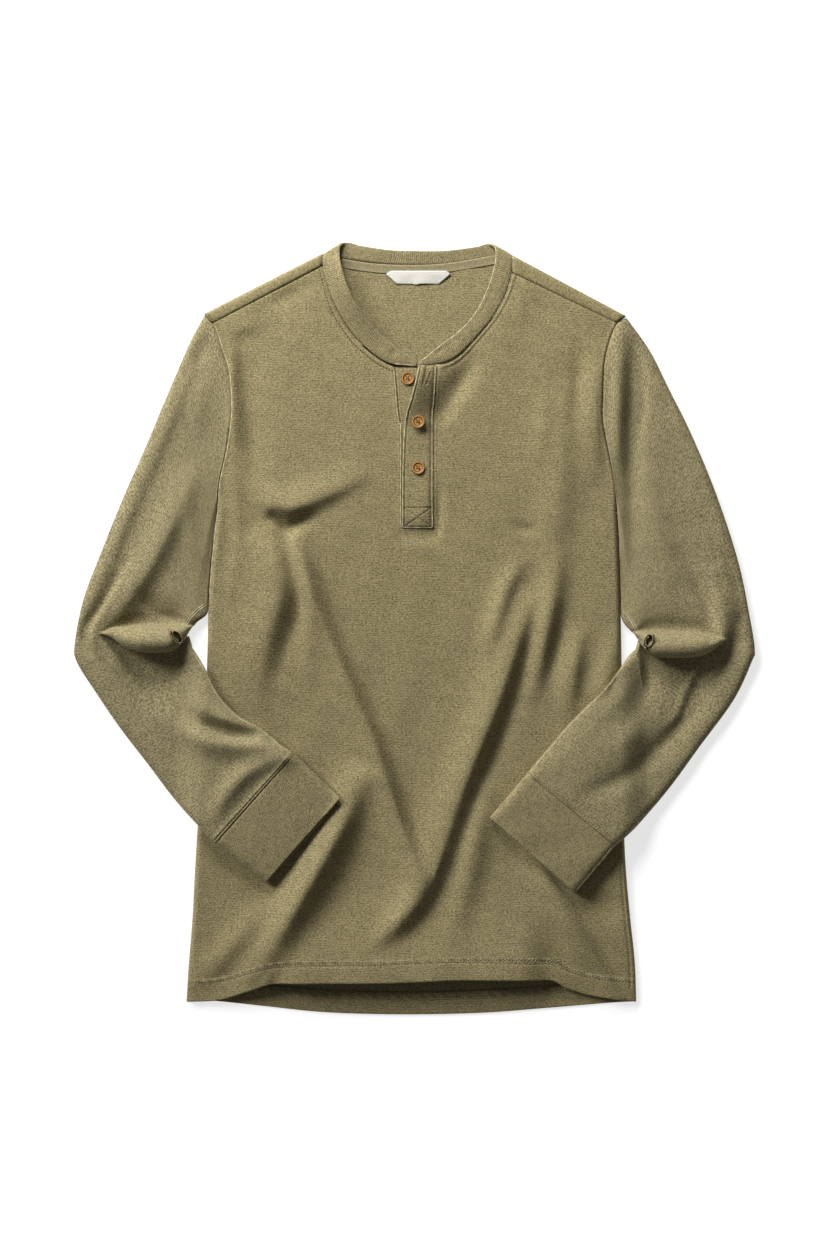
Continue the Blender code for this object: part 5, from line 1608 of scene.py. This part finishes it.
@dataclass
class Seamstress:
    """Sews: collects stitches along lines and makes one piece of them."""

    name: str
    slot: str
    radius: float = 0.34
    length: float = 2.1
    pitch: float = 2.9
    points: list[Array] = field(default_factory=list)
    faces: list[Array] = field(default_factory=list)
    count: int = 0

    def put(self, starts: Array, ends: Array, normals: Array, radius: float | None = None) -> None:
        """Adds stitches with these ends."""
        points, faces = bars(starts, ends, normals, radius or self.radius)
        self.points.append(points)
        self.faces.append(faces + self.count)
        self.count += len(points)

    def run(self, line: Array, normals: Array) -> None:
        """Adds a row of stitches along a line on the cloth.

        Args:
            line: its points.
            normals: the cloth's outward directions there.
        """
        reach = lengths(line)
        begin = np.arange(0.6, reach[-1] - self.length, self.pitch)
        ends = [np.stack([np.interp(at, reach, line[:, k]) for k in range(3)], axis=-1)
                for at in (begin, begin + self.length)]
        up = np.stack([np.interp(begin + self.length / 2, reach, normals[:, k]) for k in range(3)], axis=-1)
        self.put(ends[0], ends[1], unit(up))

    def on(self, line: Array, height: Height) -> None:
        """Adds a row of stitches along a plan line.

        Args:
            line: its points in plan.
            height: gives the surface's height.
        """
        dense = along(line, np.linspace(0.0, 1.0, max(int(lengths(line)[-1] / 1.2), 4)))
        x, y = dense.T
        z = height(x, y)
        step = 0.5
        slope_x = (height(x + step, y) - height(x - step, y)) / (2 * step)
        slope_y = (height(x, y + step) - height(x, y - step)) / (2 * step)
        normal = np.column_stack([-slope_x, -slope_y, np.ones(len(x))])
        self.run(np.column_stack([x, y, z]), unit(normal))

    def cord(self, line: Sequence, height: Height, radius: float = 0.4, rise: float = 0.0) -> None:
        """Adds a rolled edge or a dark line, thin at both ends.

        Args:
            line: its points in plan.
            height: gives the surface's height.
            radius: of the roll.
            rise: of its middle above the surface.
        """
        plan = np.asarray(line, dtype=float)
        plan = along(plan, np.linspace(0.0, 1.0, max(int(lengths(plan)[-1] / 1.1), 6)))
        points = np.column_stack([plan, height(*plan.T) + rise])
        points[1:-1, 2] = (points[:-2, 2] + points[1:-1, 2] + points[2:, 2]) / 3
        run = unit(np.gradient(points, axis=0))
        side = np.column_stack([-run[:, 1], run[:, 0], np.zeros(len(run))])
        sizes = radius * np.minimum(1.0, np.minimum(np.arange(len(run)), np.arange(len(run))[::-1]) / 3 + 0.1)
        sides = 6
        angles = 2 * math.pi * np.arange(sides) / sides
        ring = [points + sizes[:, None] * (math.cos(a) * side + math.sin(a) * np.array(UP)) for a in angles]
        before = (np.arange(len(points) - 1) * sides)[:, None]
        first, second = before + np.arange(sides), before + (np.arange(sides) + 1) % sides
        faces = np.stack([first, first + sides, second + sides, second], axis=-1).reshape(-1, 4)
        self.points.append(np.stack(ring, axis=1).reshape(-1, 3))
        self.faces.append(faces + self.count)
        self.count += len(points) * sides

    def build(self, material: Material) -> Object:
        """The piece with all that was sewn."""
        return finish_piece(new_object(self.name, np.vstack(self.points), np.vstack(self.faces), material), self.slot)


def height_on(*pieces: Object) -> Height:
    """Finds how high some pieces lie.

    Args:
        pieces: those of which the uppermost counts.

    Returns:
        A function from x and y to the height there.
    """
    trees = [BVHTree.FromPolygons([point.co[:] for point in piece.data.vertices],
                                  [face.vertices[:] for face in piece.data.polygons]) for piece in pieces]

    def height(x: Array, y: Array) -> Array:
        """The height at each point, carried on from its neighbours where no piece lies below."""
        found = []
        for a, b in zip(x, y):
            hits = [tree.ray_cast((a * MM, b * MM, 0.1), (0.0, 0.0, -1.0))[0] for tree in trees]
            found.append(max((hit.z / MM for hit in hits if hit is not None), default=math.nan))
        found = np.array(found)
        known = ~np.isnan(found)
        if not known.any():
            raise ValueError("a line on no piece")
        return np.interp(np.arange(len(found)), np.flatnonzero(known), found[known])

    return height


# ---------- buttons and label

@dataclass
class Button:
    """A four-hole button, turned with a raised rim, and its sewing thread."""

    name: str
    x: float
    y: float
    layer: Layer
    radius: float = 6.4
    thickness: float = 2.6
    hole_radius: float = 0.75
    hole_away: float = 1.75
    bevel: float = 0.28
    insets: Points2 = ((0.5, 0), (1.1, 0.05), (0.7, -0.6), (0.5, -0.15))  # width and sink of each step

    def place(self) -> tuple[float, float, float]:
        """Where the button's underside is centred, just clear of its strip."""
        angles = np.linspace(0.0, 2 * math.pi, 28, endpoint=False)
        face = PlacketStrip(self.layer).face
        z = face(self.x + self.radius * np.cos(angles), self.y + self.radius * np.sin(angles)).max() + GAP
        return self.x, self.y, float(z)

    def build(self, material: Material) -> Object:
        """The button's piece, modelled from a disc and moved to its strip."""
        bpy.ops.object.select_all(action="DESELECT")
        bpy.ops.mesh.primitive_cylinder_add(vertices=56, radius=self.radius * MM, depth=self.thickness * MM,
                                            location=(0.0, 0.0, self.thickness * MM / 2))
        made = bpy.context.active_object
        made.name = made.data.name = f"{self.name}_disc"
        self.dish(made)
        for k in range(4):
            angle = math.pi / 4 + k * math.pi / 2
            spot = (self.hole_away * MM * math.cos(angle), self.hole_away * MM * math.sin(angle), 0.0)
            bpy.ops.object.select_all(action="DESELECT")
            bpy.ops.mesh.primitive_cylinder_add(vertices=14, radius=self.hole_radius * MM, depth=9 * MM,
                                                location=spot)
            pin = bpy.context.active_object
            bpy.ops.object.select_all(action="DESELECT")
            made.select_set(True)
            bpy.context.view_layer.objects.active = made
            cut = made.modifiers.new("hole", "BOOLEAN")
            cut.operation = "DIFFERENCE"
            cut.object = pin
            bpy.ops.object.modifier_apply(modifier=cut.name)
            bpy.data.objects.remove(pin, do_unlink=True)
        round_edges = made.modifiers.new("rounded", "BEVEL")
        round_edges.width = self.bevel * MM
        round_edges.segments = 2
        round_edges.angle_limit = math.radians(50)
        bpy.ops.object.modifier_apply(modifier=round_edges.name)
        bpy.ops.object.shade_smooth_by_angle(angle=math.radians(38))
        self.map_face(made)
        made.location = [value * MM for value in self.place()]
        bpy.ops.object.transform_apply(location=True, rotation=False, scale=False)
        made.data.materials.append(material)
        return finish_piece(made, "horn", self.name)

    def dish(self, made: Object) -> None:
        """Insets the upper face and sinks it, so that a rounded rim stands round it."""
        bpy.ops.object.mode_set(mode="EDIT")
        bpy.ops.mesh.select_mode(type="FACE")
        bpy.ops.mesh.select_all(action="DESELECT")
        bpy.ops.object.mode_set(mode="OBJECT")
        for face in made.data.polygons:
            face.select = face.normal.z > 0.9
        bpy.ops.object.mode_set(mode="EDIT")
        for thickness, sink in self.insets:
            bpy.ops.mesh.inset(thickness=thickness * MM)
            bpy.ops.transform.translate(value=(0.0, 0.0, sink * MM))
        bpy.ops.object.mode_set(mode="OBJECT")
        for point in made.data.vertices:
            if math.hypot(point.co.x, point.co.y) > (self.radius - 0.1) * MM:
                share = 0.955 if point.co.z > self.thickness * MM / 2 else 0.86
                point.co.x *= share
                point.co.y *= share
        bpy.ops.object.mode_set(mode="EDIT")
        bpy.ops.mesh.select_all(action="DESELECT")
        bpy.ops.object.mode_set(mode="OBJECT")

    def map_face(self, made: Object) -> None:
        """Writes the places on the button, from its centre, as its cloth coordinates."""
        for old in list(made.data.uv_layers):
            made.data.uv_layers.remove(old)
        layer = made.data.uv_layers.new(name="cloth")
        turn = 1.1 * self.y
        for corner in made.data.loops:
            point = made.data.vertices[corner.vertex_index].co
            layer.data[corner.index].uv = (
                point.x * math.cos(turn) - point.y * math.sin(turn),
                point.x * math.sin(turn) + point.y * math.cos(turn),
            )

    def sew(self, thread: Seamstress) -> None:
        """Two strands over the button, from hole to hole."""
        x, y, z = self.place()
        top = z + self.thickness - 0.75
        spots = [(math.cos(a) * self.hole_away, math.sin(a) * self.hole_away)
                 for a in (math.pi / 4 + k * math.pi / 2 for k in range(4))]
        starts = np.array([(x + spots[a][0], y + spots[a][1], top) for a in (0, 1)])
        ends = np.array([(x + spots[a][0], y + spots[a][1], top) for a in (2, 3)])
        thread.put(starts, ends, np.array([UP] * 2), 0.4)


BUTTONS = (
    Button("button_1", -6.4, 238.0, Layer.UNDER),
    Button("button_2", 3.5, 196.5, Layer.TOP),
    Button("button_3", 3.5, 153.0, Layer.TOP),
)


@dataclass
class NeckLabel:
    """A blank woven label on the inside of the back neck, its top edge over the tape."""

    rows: tuple[tuple[float, float, float, float], ...] = (
        (328.5, -17, 23.5, 1.2), (330, -18.6, 25.2, 1.5), (333, -22, 28.9, 1.8),
        (336.4, -25.8, 33, 2.1), (338, -26.6, 34, 2.2), (340.8, -22.5, 30, 2.3),
    )
    columns: int = 30

    def build(self, material: Material) -> Object:
        """The label's piece, a little bowed."""
        rows = smooth_line(self.rows, 3)
        points = []
        for y, low, high, z in rows:
            x = np.linspace(low, high, self.columns)
            middle = (x - 4.0) / 28.0
            bow = 0.7 * (1 - middle**2) + 0.35 * np.sin(x / 4.3) * ease((338.0 - y) / 10.0)
            lower = y - 0.9 * bell((x - 1.5) / 3.0) * ease((333.0 - y) / 4.0)
            points.append(np.column_stack([x, lower, z + bow]))
        grid = Grid(np.array(points), plan_cloth(np.array(points)))
        made = grid.piece("neck_label_blank", material, "label", "neck_label", thickness=0.35)
        return made


@dataclass
class NeckTape:
    """The tape over the back neck seam, on the inside, with a stitched line at each edge."""

    depth: float = 6.6
    columns: int = 90
    height: float = 1.6
    span: Pair = (0.055, 0.945)  # shares of the back neckline

    def line(self, drop: float) -> Array:
        """A line along the tape, this far below the neck seam, on its face."""
        edge = along(BACK_NECKLINE, np.linspace(*self.span, self.columns))
        return np.column_stack([edge[:, 0], edge[:, 1] - drop, np.full(len(edge), self.height)])

    def build(self, material: Material) -> Object:
        """The tape's piece."""
        drops = (self.depth, self.depth - 0.35, self.depth - 1.0, self.depth / 2, 0.9, -1.0, -2.0)
        lifts = (-0.7, 0.0, -0.15, 0.25, 0.2, 0.8, 0.6)
        points = np.array([self.line(drop) + (0, 0, lift) for drop, lift in zip(drops, lifts)])
        grid = Grid(points, plan_cloth(points))
        made = grid.piece("neck_tape_strip", material, "tape", "neck_tape", thickness=0.5)
        return made


# ---------- studio

@dataclass
class Studio:
    """A pale floor, a soft key light from the upper left, a white surround and the camera."""

    floor_half: float = 6.0
    scale: float = 0.95  # millimetres of the shirt's middle height in one pixel
    image: tuple[int, int] = (832, 1248)
    centre_pixel: Pair = (414.5, 629)  # where the origin is in the picture
    level: float = 6.0
    lens: float = 70.0
    key_from: float = 143.0  # degrees round from +X
    key_height: float = 26.0  # degrees above the table
    key_width: float = 22.0
    key_strength: float = 2.9
    window: tuple[float, float, float] = (-350, 1200, 620)
    window_aim: tuple[float, float, float] = (0, 100, 0)
    window_size: float = 450.0
    window_power: float = 19.5
    surround: float = 0.12
    table_glow: float = 0.7

    def floor(self) -> None:
        """An acrylic table, lit from below, so that shadows on it stay pale."""
        bpy.ops.object.select_all(action="DESELECT")
        bpy.ops.mesh.primitive_plane_add(size=2 * self.floor_half, location=(0.0, 0.0, -0.0001))
        made = bpy.context.active_object
        made.name = "floor"
        material, tree, shader = new_material("opal acrylic table")
        grain = add(tree, "TexNoise", {"Vector": add(tree, "TexCoord", out="Object"), "Scale": 300.0})
        color = add(tree, "Mix", {0: grain, 6: linear("#BFBFBF"), 7: linear("#C3C3C3")}, 2, data_type="RGBA")
        plug(shader, {"Base Color": color, "Emission Color": (1.0, 1.0, 1.0, 1.0), "Roughness": 0.9,
                      "Emission Strength": self.table_glow, "Specular IOR Level": 0.1})
        made.data.materials.append(material)

    def hang(self, data: bpy.types.ID, place: Sequence, turn: Sequence = (0.0, 0.0, 0.0)) -> Object:
        """Puts a light or the camera at a place in millimetres."""
        made = bpy.data.objects.new(data.name, data)
        made.location = [value * MM for value in place]
        made.rotation_euler = turn
        bpy.context.scene.collection.objects.link(made)
        return made

    def lights(self) -> None:
        """A broad key light from the upper left, a window beyond the neck and the surround."""
        lamp = bpy.data.lights.new("key", "SUN")
        lamp.angle = math.radians(self.key_width)
        lamp.energy = self.key_strength
        away, high = math.radians(self.key_from), math.radians(self.key_height)
        self.hang(lamp, (0.0, 0.0, 0.0), (math.pi / 2 - high, 0.0, away + math.pi / 2))
        lamp = bpy.data.lights.new("window", "AREA")
        lamp.size = self.window_size * MM
        lamp.energy = self.window_power
        aim = np.array(self.window_aim) - np.array(self.window)
        self.hang(lamp, self.window, (math.acos(-aim[2] / np.linalg.norm(aim)), 0.0,
                                      math.atan2(aim[1], aim[0]) - math.pi / 2))
        world = bpy.data.worlds.new("surround")
        world.use_nodes = True
        plug(world.node_tree.nodes["Background"], {"Color": (1.0, 1.0, 1.0, 1.0), "Strength": self.surround})
        bpy.context.scene.world = world
        bpy.context.scene.view_settings.view_transform = "Standard"

    def camera(self) -> None:
        """The camera, straight above, framed so that a pixel is the stated size."""
        lens = bpy.data.cameras.new("camera")
        lens.lens = self.lens
        lens.sensor_width = 36.0
        right, up = self.image[0] / 2 - self.centre_pixel[0], self.centre_pixel[1] - self.image[1] / 2
        high = self.image[1] * self.scale * self.lens / lens.sensor_width + self.level
        bpy.context.scene.camera = self.hang(lens, (right * self.scale, up * self.scale, high))

    def build(self) -> None:
        """Everything that isn't the shirt."""
        self.floor()
        self.lights()
        self.camera()


# ---------- main

JERSEY = Knit("brushed cotton jersey", "#A3976F", "#625738", 2.7, 2.3, 0.5, 0.6, 0.06, 0.138)
SLEEVE_JERSEY = Knit("brushed cotton jersey, sleeves", "#A39873", "#63593B", 2.7, 2.3, 0.45, 0.5, 0.05, 0.112)
RIB = Knit("fine cotton rib", "#A0946D", "#63593C", 2.6, 1.8, 0.45, 0.5, 0.12, 0.1)
TAPE = Knit("cotton herringbone tape", "#A99D7A", "#6F6547", 1.6, 1.5, 0.3, 0.5)
# pale rolls along folded and sewn edges: their light colour is a painted highlight
EDGE_HIGHLIGHT = Thread("jersey edge, painted highlight", "#CFC6A1", "#A79C76")
# dark lines and dashes: painted shade in needle holes, stitch grooves, a seam's groove and the buttonhole's slit
PAINTED_SHADE_LINES = Thread("dark olive lines, painted shade", "#574C32", "#3E3623")
THREAD = Thread("spun polyester thread, olive", "#A99E7A", "#7D7352")
DARK_THREAD = Thread("spun polyester thread, brown", "#4A3A28", "#2C2118")
HORN = Horn("turned brown horn", "#C9924E", "#40230F")
LABEL = WovenLabel("damask label, undyed", "#E0DDD3", "#CCC8BC")

TUCKS = {
    -1: Tuck(((-330, -10), (-300, -4), (-287, 0.5), (-276, 2), (-262, 3), (-222, 3.5),
              (-205, 3)),
             ((-330, 0), (-302, 0), (-296, 0.1), (-289, 0.3), (-281, 0.56), (-272, 0.82),
              (-262, 0.98), (-255, 1.02), (-234, 1.02), (-226, 0.9), (-219, 0.62), (-212, 0.3),
              (-205, 0.06), (-200, 0), (-190, 0))),
    +1: Tuck(((205, -2.5), (222, -2.5), (245, -3), (270, -4.5), (287, -7.5), (300, -10),
              (330, -16)),
             ((190, 0), (203, 0), (208, 0.1), (213, 0.36), (219, 0.7), (227, 0.92),
              (240, 0.98), (255, 0.96), (270, 0.86), (279, 0.64), (286, 0.38), (293, 0.15),
              (300, 0), (330, 0))),
}
CURLS = {
    -1: Curl(-1, (-223.6, -6.9), (9.2, -13.4), 8.4, 4.2, 27.5, (-0.3, 0.2), (-4, -1, -15)),
    +1: Curl(+1, (220.6, -11.2), (-2, -7), 7.4, 4.4, 26.5, (0.25, 0.2), (4, -1, -15)),
}
UNDERARM_SEAMS = {
    -1: ((-197.6, 25.5), (-208.5, 17), (-216.5, 6.7), (-218.5, -1)),
    +1: ((202, 17), (207, 8.5), (213.5, -3.5)),
}


def sew_zigzag(thread: Seamstress, x: Array, y: Array, z: Array) -> None:
    """Sews one stitch to the next through points on the cloth."""
    line = np.column_stack([x, y, z])
    thread.put(line[:-1], line[1:], np.tile(UP, (len(x) - 1, 1)))


def sew_body(thread: Seamstress, shade_lines: Seamstress, front: FrontPanel, back: Object) -> None:
    """Sews both hems' needle rows and zigzags, and dark dashes beside the right neck seam, painted shade of needle
    holes.

    Args:
        thread: gets the stitches.
        shade_lines: gets the dark dashes, painted shade of needle holes.
        front: the front panel's measures.
        back: the back panel's piece.
    """
    low, high = BODY_EDGE[0][1:]
    hem = smooth_line(FRONT_HEM)
    x = np.linspace(low + 7.0, high - 7.0, 170)
    for needle in front.needle_rows:
        y = read(hem, x) + needle
        thread.on(np.column_stack([x, y]), lambda a, b: body_top(a, b) + 0.5)
    x = np.arange(low + 8.0, high - 8.0, 1.9)
    y = read(hem, x) + sum(front.needle_rows) / 2 + np.where(np.arange(len(x)) % 2, 1.0, -1.0)
    sew_zigzag(thread, x, y, body_top(x, y) + 0.5)
    hem = smooth_line(BACK_HEM)
    on_back = height_on(back)
    x = np.arange(-156.0, 150.0, 1.7)
    y = read(hem, x) + BACK_NEEDLES
    sew_zigzag(thread, x, y + np.where(np.arange(len(x)) % 2, 1.5, -1.5), on_back(x, y) + 0.25)
    for away in (-2.3, 2.3):
        thread.run(np.column_stack([x, y + away, on_back(x, y + away) + 0.25]), np.tile(UP, (len(x), 1)))
    # dark dashes beside the right neck seam: painted shade of needle holes
    line = smooth_line(NECKLINE[-1], 8)
    step = unit(np.gradient(line, axis=0))
    shade_lines.on(line + 3.4 * np.column_stack([-step[:, 1], step[:, 0]]), lambda a, b: body_top(a, b) + 0.15)


def roll_edges(highlights: Seamstress, front: Object, sleeves: dict[int, Object], strips: dict[Layer, Object], band: Object,
               cuff: Object) -> None:
    """Lays thin rolls along folded and sewn edges, their pale colour a painted highlight where the edges face the
    light.

    Args:
        highlights: gets the rolls, whose pale colour is a painted highlight.
        front: the front panel's piece.
        sleeves: both sleeves' pieces, by side.
        strips: both placket strips' pieces.
        band: the neckband's piece.
        cuff: the left cuff's piece.
    """
    on_front, on_band = height_on(front), height_on(band, front)
    y = np.linspace(288.0, 30.0, 60)
    highlights.cord(np.column_stack([edge_x(y, -1) + 1.3, y]), on_front, 0.42)
    slot = smooth_line(SLOT[-1])
    highlights.cord(np.column_stack([slot[:, 1] - 0.9, slot[:, 0]])[:-1], on_front, 0.4)
    strip = PlacketStrip(Layer.TOP)
    on_strip = height_on(strips[Layer.TOP])
    y = np.linspace(strip.table[0][0] + 0.4, strip.table[-1][0] - 1.0, 70)
    low, high = strip.edges(y)
    highlights.cord(np.column_stack([low + 0.7, y]), on_strip, 0.36)
    highlights.cord(np.column_stack([high - 0.6, y]), on_strip, 0.26)
    foot = [(low[0] + 0.5, y[0] + 0.6), ((low[0] + high[0]) / 2, y[0] + 0.5), (high[0] - 0.5, y[0] + 0.6)]
    highlights.cord(foot, on_strip, 0.28)
    seam = np.array(BAND_LEFT)[1:11, :2]
    free = np.array(BAND_LEFT)[:12, 3:5]
    highlights.cord(seam + (0.5, -0.6), on_band, 0.42)
    highlights.cord(free + (0.5, -0.4), on_band, 0.42)
    highlights.cord(np.array(BAND_RIGHT)[2::-1, :2] + (0.0, 0.5), on_band, 0.4)
    for side, sleeve in sleeves.items():
        on_sleeve = height_on(sleeve)
        line = np.array(UNDERARM_SEAMS[side])
        highlights.cord(line, on_sleeve, 0.34)
        highlights.cord(line + (-1.6 * side, -1.4), on_sleeve, 0.34)
        inner = np.array([(s.inner_x, s.inner_y) for s in SLEEVES[side][8:]])
        highlights.cord(inner + (1.0 * side, -1.2), on_sleeve, 0.3)
    seam, end = SLEEVES[+1][-1], CUFF_ENDS[+1]
    middle = ((seam.outer_x + end.outer_x) / 2 - 1.4, (seam.outer_y + end.outer_y) / 2 + 1.0)
    highlights.cord([(seam.outer_x - 2.6, seam.outer_y + 0.4), middle, (end.outer_x - 0.6, end.outer_y + 1.8)],
             height_on(cuff), 0.4)


def main() -> None:
    """Builds the shirt piece by piece, and the studio round it."""
    logging.basicConfig(level=logging.INFO, format="%(name)s: %(message)s")
    Studio().build()
    jersey, sleeve_jersey, rib = JERSEY.make(), SLEEVE_JERSEY.make(), RIB.make()
    front = FrontPanel()
    front_piece = front.build(jersey)
    back_piece = BackPanel().build(jersey)
    thread = Seamstress("sewing_thread", "knit")
    # dark dashes and lines, painted shade of holes and grooves
    shade_lines = Seamstress("painted_shade_lines", "knit", radius=0.42, length=1.2, pitch=3.0)
    sew_body(thread, shade_lines, front, back_piece)
    sleeves, strips = {}, {}
    for side in (-1, 1):
        sleeve = Sleeve(side, TUCKS[side])
        curl = CURLS[side].build(sleeve_jersey)
        sleeves[side] = sleeve.build(sleeve_jersey, curl)
        cuff = sleeve.build_cuff(rib)
        grid = sleeve.grid()
        row, inside = len(grid.points) - 5, slice(2, sleeve.over - 2)
        thread.run(grid.points[row, inside], grid.normals()[row, inside])
    band = Neckband().build(rib)
    NeckTape().build(TAPE.make())
    for layer in Layer:
        strip = PlacketStrip(layer)
        strips[layer] = strip.build(jersey)
        for line in strip.stitch_lines():
            # a dark line along each stitch groove: painted shade
            shade_lines.cord(line, height_on(strips[layer]), 0.24, 0.1)
    horn = HORN.make()
    brown = Seamstress("button_thread", "horn")
    for button in BUTTONS:
        button.build(horn)
        button.sew(brown)
    NeckLabel().build(LABEL.make())
    # a dark line along the left cuff's seam: painted shade of its groove
    seam = SLEEVES[+1][-1]
    shade_lines.cord([(seam.outer_x - 4.0, seam.outer_y + 2.4), (seam.inner_x + 3.0, seam.inner_y - 3.4)],
               height_on(sleeves[+1], cuff), 0.36, 0.2)
    # a dark line along the buttonhole: painted shade of its slit
    shade_lines.cord(BUTTONHOLE, height_on(strips[Layer.TOP]), 0.6, 0.45)
    shade_lines.build(PAINTED_SHADE_LINES.make())
    # pale rolls along edges, whose colour is a painted highlight
    highlights = Seamstress("painted_edge_highlight", "knit")
    roll_edges(highlights, front_piece, sleeves, strips, band, cuff)
    highlights.build(EDGE_HIGHLIGHT.make())
    thread.build(THREAD.make())
    brown.build(DARK_THREAD.make())


if __name__ == "__main__":
    main()
